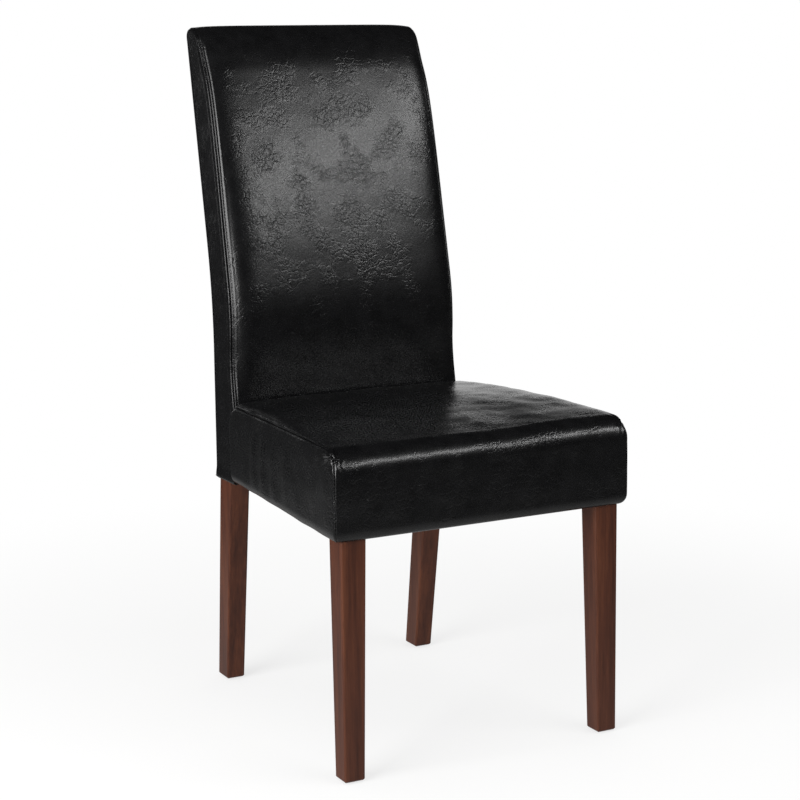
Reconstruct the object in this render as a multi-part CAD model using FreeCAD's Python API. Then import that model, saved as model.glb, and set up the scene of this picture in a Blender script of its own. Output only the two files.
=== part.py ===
import FreeCAD, Part
import math
import os

# Upholstered high-back dining chair. Millimetres, +Z up, the front faces -Y.
# Left and right are as seen from the front. The origin is on the floor, on the
# centre plane, half way between the front of the seat and the rear of the back.

# Outer sizes of the upholstery
overall_height = 1020.0
seat_front_width = 466.0
seat_rear_width = 404.0
seat_depth = 428.5
seat_bottom = 341.0
seat_seam_height = 460.5
seat_crown = 15.0
front_edge_height = 457.5
front_edge_crown = 12.0
front_roll_radius = 27.0
rear_roll_radius_side = 40.0
rear_roll_radius_middle = 14.0
back_thickness = 78.0
back_crown = 11.0
back_width_bottom = 389.0
back_width_top = 375.0
back_hem_height = 334.0
back_hem_draw = 2.8

# Curve of the back, seen from the side
bend_start = 520.0
rear_bend_radius = 820.0
back_lean = math.radians(12.1)
roll_turn = math.radians(35.0)
roll_large_radius = 150.0
roll_small_radius = 36.0
rear_corner_radius = 16.0

# Layers between the frame and the outside
leather = 1.4
soft_gap = 0.3
back_board_thickness = 3.0
rear_wadding_thickness = 3.0
side_wadding_thickness = 2.6
front_padding_thickness = 6.8
webbing_thickness = 1.5
dust_cover_thickness = 0.6
top_padding = 13.0

# Wooden frame
front_leg_top = 38.0
front_leg_foot = 31.0
front_leg_side_inset = 12.4
rear_leg_width = 33.7
rear_leg_width_foot = 29.6
rear_leg_depth = 40.0
rear_leg_depth_foot = 37.0
rear_leg_kick = 47.5
rear_leg_inward = 5.8
leg_edge_radius = 3.0
foot_chamfer = 2.0
rail_height = 65.0
rail_thickness = 20.0
back_rail_thickness = 20.0
back_top_rail_height = 60.0
back_middle_rail_height = 50.0
back_bottom_rail_height = 50.0
back_bottom_rail_lift = 36.0
back_middle_rail_climb = 30.0
tenon_thickness = 9.0
tenon_shoulder = 9.0
tenon_length = 14.0
glue_gap = 0.1

# Corner blocks and fixings
block_height = 40.0
block_reach = 53.0
block_gap = 0.3
bolt_radius = 4.0
bolt_depth_in_leg = 26.0
bolt_end = 3.0
bolt_clearance = 0.3
washer_radius = 11.0
washer_thickness = 1.6
nut_sides = 6
nut_across_flats = 13.0
nut_height = 6.5
screw_radius = 2.0
screw_head_radius = 4.0
screw_head_height = 3.0
screw_clearance = 0.2
screw_grip = 12.0
screw_bite = 14.0
screw_side_step = 34.0
screw_lift = 11.0

# Webbing, glides and staples
seat_strap_width = 55.0
seat_straps_lengthwise = 4
seat_straps_crosswise = 4
seat_strap_pitch_x = 74.0
seat_strap_pitch_y = 84.0
back_strap_width = 50.0
back_strap_heights = [565.0, 640.0, 810.0, 885.0]
strap_landing = 14.0
glide_radius = 9.0
glide_height = 2.0
glide_nail_radius = 1.2
glide_nail_length = 14.0
dust_cover_margin = 4.0
staple_length = 10.0
staple_width = 1.2
staple_thickness = 0.5
staple_pitch = 42.0
staple_inset = 9.0

# Positions across the chair at which the cushions' sections are drawn
section_stations = [-1.0, -0.85, -0.5, 0.0, 0.5, 0.85, 1.0]


# Places that follow from the sizes above
rail_bottom = seat_bottom + dust_cover_thickness
rail_top = rail_bottom + rail_height
deck_height = rail_top + 2.0 * webbing_thickness
post_set_back = leather + soft_gap / 2.0 + rear_wadding_thickness + back_board_thickness
rear_depth_of_post_front = post_set_back + rear_leg_depth
lean_sine = math.sin(back_lean)
lean_cosine = math.cos(back_lean)


def back_point(depth, climb):
    """A point of the leaning part: depth in front of the rear surface, climb up the slope."""
    reach = rear_bend_radius + depth
    y = bend_centre_y - reach * lean_cosine + climb * lean_sine
    z = bend_start + reach * lean_sine + climb * lean_cosine
    return (y, z)


def roll_climb():
    """How far up the slope the front roll starts, so that the top comes out at the full height."""
    roll_height = roll_small_radius + (roll_large_radius - roll_small_radius) * math.sin(roll_turn)
    slope_reach = rear_bend_radius + back_thickness + back_crown - roll_large_radius
    return (overall_height - roll_height - bend_start - slope_reach * lean_sine) / lean_cosine


def top_height(crown):
    """Height of the back's top where the front face bulges by crown."""
    return overall_height - (back_crown - crown) * lean_sine


def rear_corner_centre(crown):
    """Centre of the round between the top and the rear face."""
    z = top_height(crown) - rear_corner_radius
    reach = rear_bend_radius + rear_corner_radius
    climb = (z - bend_start - reach * lean_sine) / lean_cosine
    return back_point(rear_corner_radius, climb)


# The seat's front face starts at zero while the rearmost point is found
bend_centre_y = seat_depth + back_thickness + rear_bend_radius
seat_front_y = -(rear_corner_centre(back_crown)[0] + rear_corner_radius) / 2.0
bend_centre_y = bend_centre_y + seat_front_y
seat_rear_y = seat_front_y + seat_depth
back_rear_y = seat_rear_y + back_thickness
post_rear_y = back_rear_y - post_set_back
post_front_y = post_rear_y - rear_leg_depth
leg_front_y = seat_front_y + leather + front_padding_thickness + soft_gap
leg_rear_y = leg_front_y + front_leg_top
front_leg_outer = seat_front_width / 2.0 - front_leg_side_inset
front_leg_inner = front_leg_outer - front_leg_top


def seat_half_width(y):
    """Half the width of the seat's cover at a distance from the front."""
    taper = (seat_front_width - seat_rear_width) / 2.0 / seat_depth
    return seat_front_width / 2.0 - taper * (y - seat_front_y)


def back_half_width(z):
    """Half the width of the back's cover at a height."""
    taper = (back_width_bottom - back_width_top) / 2.0 / (overall_height - back_hem_height)
    return back_width_bottom / 2.0 - taper * (z - back_hem_height)


def post_half_width(z):
    """Outer face of the rear posts, under the side wadding."""
    return back_half_width(z) - leather - soft_gap - side_wadding_thickness


post_outer = post_half_width(seat_bottom)
post_inner = post_outer - rear_leg_width


def rail_outer(y):
    """Outer face of the side rails, from the front leg to the rear post."""
    share = (y - leg_rear_y) / (post_front_y - leg_rear_y)
    return front_leg_outer + (post_outer - front_leg_outer) * share


def rail_inner(y):
    """Inner face of the side rails."""
    return rail_outer(y) - rail_thickness


def rail_taper():
    """How much the side rails run in for each millimetre towards the rear."""
    return (front_leg_outer - post_outer) / (post_front_y - leg_rear_y)


def dome(station):
    """Height of a crown across the width: one in the middle, none at the seams."""
    return 1.0 - station ** 4


def box(x0, x1, y0, y1, z0, z1):
    """A block between two corners."""
    corner = FreeCAD.Vector(min(x0, x1), min(y0, y1), min(z0, z1))
    return Part.makeBox(abs(x1 - x0), abs(y1 - y0), abs(z1 - z0), corner)


def prism(corners, z0, z1):
    """An upright prism over a plan outline."""
    points = [FreeCAD.Vector(x, y, z0) for x, y in corners]
    face = Part.Face(Part.makePolygon(points + points[:1]))
    return face.extrude(FreeCAD.Vector(0, 0, z1 - z0))


def mirrored(shape):
    """The same piece for the other side of the chair."""
    return shape.mirror(FreeCAD.Vector(0, 0, 0), FreeCAD.Vector(1, 0, 0))


def arc(centre, radius, start, end):
    """Three points of an arc in the side view, by angles from the rear direction."""
    angles = [start, (start + end) / 2.0, end]
    return [(centre[0] + radius * math.cos(a), centre[1] + radius * math.sin(a)) for a in angles]


def reversed_path(path):
    """The same run of lines and arcs, walked backwards."""
    return [step[::-1] for step in path[::-1]]


def closed_path(outer, inner):
    """A thin section between an outer and an inner run of the same kind."""
    home = reversed_path(inner)
    return outer + [[outer[-1][-1], home[0][0]]] + home + [[home[-1][-1], outer[0][0]]]


def side_wire(path, half_width, station):
    """A side view path, drawn on the plane at a share of the half width."""
    edges = []
    for step in path:
        points = [FreeCAD.Vector(station * half_width(y, z), y, z) for y, z in step]
        if len(points) == 2:
            edges.append(Part.LineSegment(points[0], points[1]).toShape())
        else:
            edges.append(Part.Arc(points[0], points[1], points[2]).toShape())
    return Part.Wire(edges)


def cushion(path_at, half_width):
    """A solid lofted through the sections across the chair."""
    wires = [side_wire(path_at(dome(s)), half_width, s) for s in section_stations]
    return Part.makeLoft(wires, True, False)


def side_sheet(path, outer_width, inner_width):
    """A flat sheet on the left side, between two half widths."""
    wires = [side_wire(path, outer_width, -1.0), side_wire(path, inner_width, -1.0)]
    return Part.makeLoft(wires, True, True)


# Side view paths of the seat

def seat_top_path(share, inset, bottom, rear_bottom):
    """Front, roll, crowned top and rear of the seat, inset from the outside."""
    front = seat_front_y + inset
    rear = seat_rear_y - soft_gap - back_crown * share
    front_top = front_edge_height + front_edge_crown * share
    middle_top = seat_seam_height + seat_crown * share
    rear_top = seat_seam_height + seat_crown * share / 2.0
    rear_roll = rear_roll_radius_side + (rear_roll_radius_middle - rear_roll_radius_side) * share
    front_centre = (seat_front_y + front_roll_radius, front_top - front_roll_radius)
    rear_centre = (rear - rear_roll, rear_top - rear_roll)
    front_arc = arc(front_centre, front_roll_radius - inset, math.pi, math.pi / 2.0)
    rear_arc = arc(rear_centre, rear_roll - inset, math.pi / 2.0, 0.0)
    middle = ((front_centre[0] + rear_centre[0]) / 2.0, middle_top - inset)
    return [
        [(front, bottom), front_arc[0]],
        front_arc,
        [front_arc[2], middle, rear_arc[0]],
        rear_arc,
        [rear_arc[2], (rear - inset, rear_bottom)],
    ]


# Side view paths of the back

def back_front_path(crown, inset, bottom):
    """Front of the back, from its lower edge up and over the front roll."""
    depth = back_thickness + crown - inset
    bend = [bend_centre_y, bend_start]
    reach = rear_bend_radius + depth
    bend_arc = arc(bend, reach, math.pi, math.pi - back_lean)
    roll_centre = back_point(back_thickness + crown - roll_large_radius, roll_climb())
    step = roll_large_radius - roll_small_radius
    small_centre = (
        roll_centre[0] - step * math.cos(roll_turn),
        roll_centre[1] + step * math.sin(roll_turn),
    )
    large_arc = arc(roll_centre, roll_large_radius - inset, math.pi - back_lean, math.pi - roll_turn)
    small_arc = arc(small_centre, roll_small_radius - inset, math.pi - roll_turn, math.pi / 2.0)
    return [
        [(bend_centre_y - reach, bottom), bend_arc[0]],
        bend_arc,
        [bend_arc[2], large_arc[0]],
        large_arc,
        small_arc,
    ]


def rear_surface_path(depth, bottom, bottom_draw):
    """The rear surface or one in front of it, from the slope down to its lower edge."""
    reach = rear_bend_radius + depth
    bend_arc = arc([bend_centre_y, bend_start], reach, math.pi - back_lean, math.pi)
    low = (bend_centre_y - reach - bottom_draw, bottom)
    return [bend_arc, [bend_arc[2], low]]


def back_outline(crown, inset, front_bottom, rear_bottom):
    """The whole side view of the back, front lower edge to rear lower edge."""
    front = back_front_path(crown, inset, front_bottom)
    centre = rear_corner_centre(crown)
    corner = arc(centre, rear_corner_radius - inset, math.pi / 2.0, -back_lean)
    rear = rear_surface_path(inset, rear_bottom, back_hem_draw)
    return front + [[front[-1][-1], corner[0]], corner, [corner[2], rear[0][0]]] + rear


# Wooden frame

def side_slab(corners, half_length):
    """A plate across the chair over a side view outline."""
    points = [FreeCAD.Vector(-half_length, y, z) for y, z in corners]
    face = Part.Face(Part.makePolygon(points + points[:1]))
    return face.extrude(FreeCAD.Vector(2.0 * half_length, 0, 0))


def front_slab(corners):
    """A plate from front to rear over a front view outline."""
    points = [FreeCAD.Vector(x, seat_front_y, z) for x, z in corners]
    face = Part.Face(Part.makePolygon(points + points[:1]))
    return face.extrude(FreeCAD.Vector(0, -2.0 * seat_front_y, 0))


def eased_leg(side_corners, front_corners):
    """A tapered leg from its side and front view, with softened corners and a chamfered foot."""
    leg = side_slab(side_corners, seat_front_width).common(front_slab(front_corners)).Solids[0]
    upright = [e for e in leg.Edges if e.BoundBox.ZLength > seat_bottom / 2.0]
    leg = leg.makeFillet(leg_edge_radius, upright).Solids[0]
    foot = [e for e in leg.Edges if e.BoundBox.ZMax < glide_height + foot_chamfer / 2.0]
    return leg.makeChamfer(foot_chamfer, foot).Solids[0]


def front_leg():
    """Left front leg: straight outside, tapered on its two inner faces below the seat."""
    taper = front_leg_top - front_leg_foot
    side_view = [
        (leg_front_y, glide_height),
        (leg_rear_y - taper, glide_height),
        (leg_rear_y, rail_bottom),
        (leg_front_y, rail_bottom),
    ]
    front_view = [
        (-front_leg_outer, glide_height),
        (-front_leg_inner - taper, glide_height),
        (-front_leg_inner, rail_bottom),
        (-front_leg_outer, rail_bottom),
    ]
    upper = box(-front_leg_outer, -front_leg_inner, leg_front_y, leg_rear_y, rail_bottom, rail_top)
    return eased_leg(side_view, front_view).fuse(upper).removeSplitter()


def rear_post():
    """Left rear leg and back post in one piece, kicked back at the foot."""
    kicked = post_front_y + rear_leg_kick
    foot_outer = post_outer - rear_leg_inward
    side_view = [
        (kicked, glide_height),
        (kicked + rear_leg_depth_foot, glide_height),
        (post_rear_y, seat_bottom),
        (post_front_y, seat_bottom),
    ]
    front_view = [
        (-foot_outer, glide_height),
        (-foot_outer + rear_leg_width_foot, glide_height),
        (-post_inner, seat_bottom),
        (-post_outer, seat_bottom),
    ]
    upper = Part.Face(side_wire(post_path(), lambda y, z: post_inner, -1.0))
    upper = upper.extrude(FreeCAD.Vector(-rear_leg_width, 0, 0)).common(post_envelope())
    return eased_leg(side_view, front_view).fuse(upper).removeSplitter()


def post_path():
    """Side view of the upper post, straight behind the seat and leaning above it."""
    return curved_board_path(rear_depth_of_post_front, post_set_back, seat_bottom)


def post_climb():
    """How far up the slope the posts end, under the padding on top."""
    z = top_height(0.0) - leather - top_padding
    reach = rear_bend_radius + rear_depth_of_post_front
    return (z - bend_start - reach * lean_sine) / lean_cosine


def post_envelope():
    """Space between the two leaning outer faces of the posts."""
    low = post_half_width(seat_bottom)
    high = post_half_width(overall_height)
    left = [(-high, overall_height), (-low, seat_bottom)]
    right = [(low, seat_bottom), (high, overall_height)]
    return front_slab(left + right)


def rail_tenon_heights(gap):
    """Lower and upper limit of the seat rails' tenons."""
    return (rail_bottom + tenon_shoulder - gap, rail_top - tenon_shoulder + gap)


def cross_rail_tenons(y0, inner, gap):
    """Tenon and mortise space of a rail that runs across the chair."""
    middle = y0 + rail_thickness / 2.0
    half = tenon_thickness / 2.0 + gap
    low, high = rail_tenon_heights(gap)
    reach = inner + tenon_length + gap
    return box(-reach, reach, middle - half, middle + half, low, high)


def side_rail_tenons(gap):
    """Tenon and mortise space of the left side rail, at both its ends."""
    half = tenon_thickness / 2.0 + gap
    low, high = rail_tenon_heights(gap)
    front_middle = -rail_outer(leg_rear_y) + rail_thickness / 2.0
    rear_middle = -rail_outer(post_front_y) + rail_thickness / 2.0
    front_end = leg_rear_y - tenon_length - gap
    rear_end = post_front_y + tenon_length + gap
    front = box(front_middle - half, front_middle + half, front_end, leg_rear_y, low, high)
    rear = box(rear_middle - half, rear_middle + half, post_front_y, rear_end, low, high)
    return front, rear


def front_rail():
    """Front seat rail between the front legs."""
    rear = leg_front_y + rail_thickness
    body = box(-front_leg_inner, front_leg_inner, leg_front_y, rear, rail_bottom, rail_top)
    return body.fuse(cross_rail_tenons(leg_front_y, front_leg_inner, 0.0)).removeSplitter()


def rear_rail():
    """Rear seat rail between the posts."""
    rear = post_front_y + rail_thickness
    body = box(-post_inner, post_inner, post_front_y, rear, rail_bottom, rail_top)
    return body.fuse(cross_rail_tenons(post_front_y, post_inner, 0.0)).removeSplitter()


def side_rail():
    """Left side rail, which runs in towards the rear."""
    corners = [
        (-rail_outer(leg_rear_y), leg_rear_y),
        (-rail_inner(leg_rear_y), leg_rear_y),
        (-rail_inner(post_front_y), post_front_y),
        (-rail_outer(post_front_y), post_front_y),
    ]
    front, rear = side_rail_tenons(0.0)
    return prism(corners, rail_bottom, rail_top).fuse([front, rear]).removeSplitter()


def leaning_box(half_length, depth_front, depth_rear, low, high):
    """A box across the back, square to its slope, between two climbs."""
    corners = [
        back_point(depth_front, low),
        back_point(depth_front, high),
        back_point(depth_rear, high),
        back_point(depth_rear, low),
    ]
    return side_slab(corners, half_length)


def leaning_rail(low, high, half_length, shoulder, thickness, gap):
    """A rail or its tenons in the leaning part, centred in the posts' depth."""
    middle = (post_set_back + rear_depth_of_post_front) / 2.0
    half = thickness / 2.0 + gap
    inset = shoulder - gap
    return leaning_box(half_length, middle + half, middle - half, low + inset, high - inset)


def back_rail_limits():
    """Lower and upper climb of the rails in the leaning part."""
    top = post_climb()
    middle_high = back_middle_rail_climb + back_middle_rail_height
    return [(top - back_top_rail_height, top), (back_middle_rail_climb, middle_high)]


def leaning_rails():
    """Top and middle rail of the back, with their tenons."""
    rails = []
    for low, high in back_rail_limits():
        body = leaning_rail(low, high, post_inner, 0.0, back_rail_thickness, 0.0)
        tenons = leaning_tenons(low, high, 0.0)
        rails.append(body.fuse(tenons).removeSplitter())
    return rails


def leaning_tenons(low, high, gap):
    """Tenon and mortise space of one leaning rail."""
    reach = post_inner + tenon_length + gap
    return leaning_rail(low, high, reach, tenon_shoulder, tenon_thickness, gap)


def bottom_rail_box(half_length, shoulder, thickness, gap):
    """The upright rail just above the seat, or its tenons."""
    middle = (post_front_y + post_rear_y) / 2.0
    half = thickness / 2.0 + gap
    low = deck_height + back_bottom_rail_lift + shoulder - gap
    high = deck_height + back_bottom_rail_lift + back_bottom_rail_height - shoulder + gap
    return box(-half_length, half_length, middle - half, middle + half, low, high)


def bottom_rail_tenons(gap):
    """Tenon and mortise space of the back's bottom rail."""
    return bottom_rail_box(post_inner + tenon_length + gap, tenon_shoulder, tenon_thickness, gap)


def bottom_rail():
    """Bottom rail of the back, with its tenons."""
    body = bottom_rail_box(post_inner, 0.0, back_rail_thickness, 0.0)
    return body.fuse(bottom_rail_tenons(0.0)).removeSplitter()


def mortised_front_leg():
    """Left front leg with its mortises, bolt hole and nail hole."""
    cuts = [cross_rail_tenons(leg_front_y, front_leg_inner, glue_gap)]
    cuts += [side_rail_tenons(glue_gap)[0]]
    cuts += [hanger_bolt(), glide_nail(*front_foot_centre())]
    return front_leg().cut(cuts)


def mortised_rear_post():
    """Left rear post with its mortises and nail hole."""
    cuts = [cross_rail_tenons(post_front_y, post_inner, glue_gap)]
    cuts += [side_rail_tenons(glue_gap)[1]]
    cuts += [leaning_tenons(low, high, glue_gap) for low, high in back_rail_limits()]
    cuts += [bottom_rail_tenons(glue_gap), glide_nail(*rear_foot_centre())]
    return rear_post().cut(cuts)


# Corner blocks and their fixings

def block_middle():
    """Height of the blocks' middle, and of the bolts."""
    return (rail_bottom + rail_top) / 2.0


def rail_line_y(total):
    """Where a line of 45 degrees, x plus y equal to total, meets the left rail's inner face."""
    return (total + rail_inner(leg_rear_y) + rail_taper() * leg_rear_y) / (1.0 + rail_taper())


def front_block_outline():
    """Plan of the left front block, fitted round the leg's inner corner."""
    rail_rear = leg_front_y + rail_thickness
    total = -front_leg_inner + block_reach + rail_rear
    far_y = rail_line_y(total)
    beside_leg = -front_leg_inner + block_gap
    behind_leg = leg_rear_y + block_gap
    return [
        (beside_leg, rail_rear),
        (total - rail_rear, rail_rear),
        (-rail_inner(far_y), far_y),
        (-rail_inner(behind_leg), behind_leg),
        (beside_leg, behind_leg),
    ]


def rear_block_outline():
    """Plan of the left rear block, in front of the post and the rear rail."""
    tip = -post_inner + block_reach
    corner = rail_inner(post_front_y)
    near_y = post_front_y - (tip + corner) / (1.0 + rail_taper())
    return [(-corner, post_front_y), (tip, post_front_y), (-rail_inner(near_y), near_y)]


def bolt_direction():
    """From the leg's inner corner to the middle of the frame."""
    return FreeCAD.Vector(1, 1, 0).normalize()


def block_face_distance():
    """From the leg's corner to the block's inner face, along the bolt."""
    return (block_reach + rail_thickness - front_leg_top) / math.sqrt(2.0)


def along_bolt(distance):
    """A point on the left bolt's axis, measured from the leg's inner corner."""
    corner = FreeCAD.Vector(-front_leg_inner, leg_rear_y, block_middle())
    return corner + bolt_direction() * distance


def hanger_bolt():
    """Bolt from inside the left front leg through its block."""
    end = block_face_distance() + washer_thickness + nut_height + bolt_end
    return Part.makeCylinder(
        bolt_radius, bolt_depth_in_leg + end, along_bolt(-bolt_depth_in_leg), bolt_direction())


def washer():
    """Washer on the left front block."""
    start = along_bolt(block_face_distance())
    disc = Part.makeCylinder(washer_radius, washer_thickness, start, bolt_direction())
    hole = Part.makeCylinder(bolt_radius + bolt_clearance, washer_thickness, start, bolt_direction())
    return disc.cut(hole)


def nut():
    """Hexagon nut on the left bolt."""
    radius = nut_across_flats / math.sqrt(3.0)
    points = []
    for corner in range(nut_sides):
        turn = 2.0 * math.pi * corner / nut_sides
        points.append(FreeCAD.Vector(radius * math.cos(turn), radius * math.sin(turn), 0))
    face = Part.Face(Part.makePolygon(points + points[:1]))
    body = face.extrude(FreeCAD.Vector(0, 0, nut_height))
    body = body.cut(Part.makeCylinder(bolt_radius, nut_height))
    start = along_bolt(block_face_distance() + washer_thickness)
    turn = FreeCAD.Rotation(FreeCAD.Vector(0, 0, 1), bolt_direction())
    body.Placement = FreeCAD.Placement(start, turn)
    return body


def screw_seats():
    """Start of each left screw at its rail's face, its direction into the rail, and height."""
    rail_rear = leg_front_y + rail_thickness
    low = block_middle() - screw_lift
    high = block_middle() + screw_lift
    into_front = FreeCAD.Vector(0, -1, 0)
    into_side = FreeCAD.Vector(-1, 0, 0)
    into_rear = FreeCAD.Vector(0, 1, 0)
    front_side_y = rail_rear + screw_side_step
    rear_side_y = post_front_y - screw_side_step
    front_x = -front_leg_inner + screw_side_step / 2.0
    rear_x = -post_inner + screw_side_step / 2.0
    return [
        (FreeCAD.Vector(front_x, rail_rear, low), into_front),
        (FreeCAD.Vector(-rail_inner(front_side_y), front_side_y, high), into_side),
        (FreeCAD.Vector(rear_x, post_front_y, low), into_rear),
        (FreeCAD.Vector(-rail_inner(rear_side_y), rear_side_y, high), into_side),
    ]


def screw(start, direction):
    """A wood screw whose head sits in the block's counterbore."""
    head = start - direction * screw_grip
    shank = Part.makeCylinder(screw_radius, screw_grip + screw_bite, head, direction)
    top = head - direction * screw_head_height
    return shank.fuse(Part.makeCylinder(screw_head_radius, screw_head_height, top, direction))


def screw_way(start, direction):
    """Clearance hole and counterbore of a screw, through its block."""
    head = start - direction * screw_grip
    way = Part.makeCylinder(screw_radius + screw_clearance, screw_grip, head, direction)
    far = head - direction * block_reach
    bore = Part.makeCylinder(screw_head_radius + screw_clearance, block_reach, far, direction)
    return way.fuse(bore)


def block_heights():
    """Lower and upper face of the corner blocks."""
    return (block_middle() - block_height / 2.0, block_middle() + block_height / 2.0)


def front_block():
    """Left front corner block with its bolt and screw holes."""
    low, high = block_heights()
    seats = screw_seats()
    length = block_face_distance() + bolt_depth_in_leg
    bolt_way = Part.makeCylinder(
        bolt_radius + bolt_clearance, 2.0 * length, along_bolt(-length), bolt_direction())
    cuts = [bolt_way, screw_way(*seats[0]), screw_way(*seats[1])]
    return prism(front_block_outline(), low, high).cut(cuts)


def rear_block():
    """Left rear corner block with its screw holes."""
    low, high = block_heights()
    seats = screw_seats()
    return prism(rear_block_outline(), low, high).cut([screw_way(*seats[2]), screw_way(*seats[3])])


def both_sides(shapes):
    """The left shapes and their mirror images, as one group of solids."""
    return Part.makeCompound(shapes + [mirrored(s) for s in shapes])


# Webbing

def strap_positions(count, pitch):
    """Centres of a row of straps, spread evenly about the middle."""
    return [(index - (count - 1) / 2.0) * pitch for index in range(count)]


def seat_webbing_lengthwise():
    """Elastic straps from the front rail to the rear rail."""
    front = leg_front_y + rail_thickness - strap_landing
    rear = post_front_y + strap_landing
    straps = []
    for x in strap_positions(seat_straps_lengthwise, seat_strap_pitch_x):
        half = seat_strap_width / 2.0
        straps.append(box(x - half, x + half, front, rear, rail_top, rail_top + webbing_thickness))
    return Part.makeCompound(straps)


def seat_webbing_crosswise():
    """Elastic straps from side rail to side rail, over the lengthwise ones."""
    middle = (leg_front_y + rail_thickness + post_front_y) / 2.0
    straps = []
    for step in strap_positions(seat_straps_crosswise, seat_strap_pitch_y):
        front = middle + step - seat_strap_width / 2.0
        rear = middle + step + seat_strap_width / 2.0
        reach = rail_inner(rear) + strap_landing
        straps.append(box(-reach, reach, front, rear, deck_height - webbing_thickness, deck_height))
    return Part.makeCompound(straps)


def back_webbing():
    """Elastic straps across the front of the posts, which carry the back's foam."""
    front_depth = rear_depth_of_post_front + webbing_thickness
    sheet = curved_board(front_depth, rear_depth_of_post_front, post_inner + strap_landing)
    reach = seat_front_width
    straps = []
    for height in back_strap_heights:
        low = height - back_strap_width / 2.0
        band = box(-reach, reach, seat_front_y, -seat_front_y, low, low + back_strap_width)
        straps.append(sheet.common(band))
    return Part.makeCompound(straps)


# Soft pieces

def inside_seat_cover(y, z):
    """Half width inside the seat's side panels."""
    return seat_half_width(y) - leather


def seat_foam_width(y, z):
    """Half width of the seat foam."""
    return inside_seat_cover(y, z) - soft_gap


def outside_seat_cover(y, z):
    """Half width outside the seat's side panels."""
    return seat_half_width(y)


def inside_back_cover(y, z):
    """Half width inside the back's side strips."""
    return back_half_width(z) - leather


def back_foam_width(y, z):
    """Half width of the back's foam."""
    return inside_back_cover(y, z) - soft_gap


def outside_back_cover(y, z):
    """Half width outside the back's side strips."""
    return back_half_width(z)


def outside_wadding(y, z):
    """Half width outside the side wadding."""
    return post_half_width(z) + side_wadding_thickness


def outside_post(y, z):
    """Half width outside the posts."""
    return post_half_width(z)


def seat_foam_path(share):
    """Section of the seat foam, flat underneath."""
    path = seat_top_path(share, leather + soft_gap, deck_height, deck_height)
    return path + [[path[-1][-1], path[0][0]]]


def seat_panel_path(share):
    """Thin section of the leather over the seat's front, top and rear."""
    outer = seat_top_path(share, 0.0, seat_bottom, deck_height)
    inner = seat_top_path(share, leather, seat_bottom, deck_height)
    return closed_path(outer, inner)


def seat_side_path():
    """Outline of the seat's side panel."""
    path = seat_top_path(0.0, 0.0, seat_bottom, seat_bottom)
    return path + [[path[-1][-1], path[0][0]]]


def seat_cover_side():
    """Left side panel of the seat, with its rear edge turned in to the back."""
    panel = side_sheet(seat_side_path(), outside_seat_cover, inside_seat_cover)
    rear = seat_rear_y - soft_gap
    reach = back_half_width(seat_bottom) + soft_gap
    corners = [
        (-seat_half_width(rear), rear),
        (-seat_half_width(rear - leather), rear - leather),
        (-reach, rear - leather),
        (-reach, rear),
    ]
    return panel.fuse(prism(corners, seat_bottom, deck_height - soft_gap)).removeSplitter()


def seat_front_padding():
    """Foam strip on the front faces of the front rail and legs."""
    front = seat_front_y + leather + soft_gap
    corners = [
        (-seat_foam_width(front, 0), front),
        (seat_foam_width(front, 0), front),
        (seat_foam_width(leg_front_y, 0), leg_front_y),
        (-seat_foam_width(leg_front_y, 0), leg_front_y),
    ]
    return prism(corners, rail_bottom, deck_height)


def seat_side_padding():
    """Foam strip on the left side rail and front leg."""
    rear = seat_rear_y - leather - 2.0 * soft_gap
    corners = [
        (-seat_foam_width(leg_front_y, 0), leg_front_y),
        (-front_leg_outer, leg_front_y),
        (-front_leg_outer, leg_rear_y),
        (-rail_outer(rear), rear),
        (-seat_foam_width(rear, 0), rear),
    ]
    return prism(corners, rail_bottom, deck_height)


def back_foam_path(share):
    """Section of the back's foam, in front of the posts and over their tops."""
    inset = leather + soft_gap
    crown = back_crown * share
    bottom = deck_height + soft_gap
    front = back_front_path(crown, inset, bottom)
    centre = rear_corner_centre(crown)
    corner = arc(centre, rear_corner_radius - inset, math.pi / 2.0, -back_lean)
    cap_climb = post_climb() + soft_gap
    rear_low = back_point(inset, cap_climb)
    rear_depth = rear_depth_of_post_front + webbing_thickness + soft_gap
    front_low = back_point(rear_depth, cap_climb)
    foam_rear = rear_surface_path(rear_depth, bottom, 0.0)
    over = [[front[-1][-1], corner[0]], corner, [corner[2], rear_low], [rear_low, front_low]]
    down = [[front_low, foam_rear[0][0]], foam_rear[0], foam_rear[1]]
    return front + over + down + [[foam_rear[1][1], front[0][0]]]


def back_panel_path(share):
    """Thin section of the leather over the back's front, top and rear."""
    crown = back_crown * share
    outer = back_outline(crown, 0.0, deck_height + soft_gap, back_hem_height)
    inner = back_outline(crown, leather, deck_height + soft_gap, back_hem_height)
    return closed_path(outer, inner)


def back_strip_path():
    """Outline of the back's side strip, which runs down past the seat to the leg."""
    path = back_outline(0.0, 0.0, back_hem_height, back_hem_height)
    return path + [[path[-1][-1], path[0][0]]]


def back_cover_side():
    """Left side strip of the back's cover."""
    return side_sheet(back_strip_path(), outside_back_cover, inside_back_cover)


def back_side_wadding():
    """Thin wadding on the outer face of the left post."""
    return side_sheet(post_path(), outside_wadding, outside_post)


def curved_board_path(depth_front, depth_rear, bottom):
    """Side view of a bent board as tall as the posts, between two depths from the rear surface."""
    front = rear_surface_path(depth_front, bottom, 0.0)
    rear = rear_surface_path(depth_rear, bottom, 0.0)
    front_top = back_point(depth_front, post_climb())
    rear_top = back_point(depth_rear, post_climb())
    rise = [[front[1][1], front[1][0]], front[0][::-1], [front[0][0], front_top]]
    fall = [[rear_top, rear[0][0]], rear[0], rear[1]]
    return rise + [[front_top, rear_top]] + fall + [[rear[1][1], front[1][1]]]


def curved_board(depth_front, depth_rear, half_length):
    """A bent board across the back, between two depths from the rear surface."""
    path = curved_board_path(depth_front, depth_rear, rail_bottom)
    return across(path, half_length)


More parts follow.
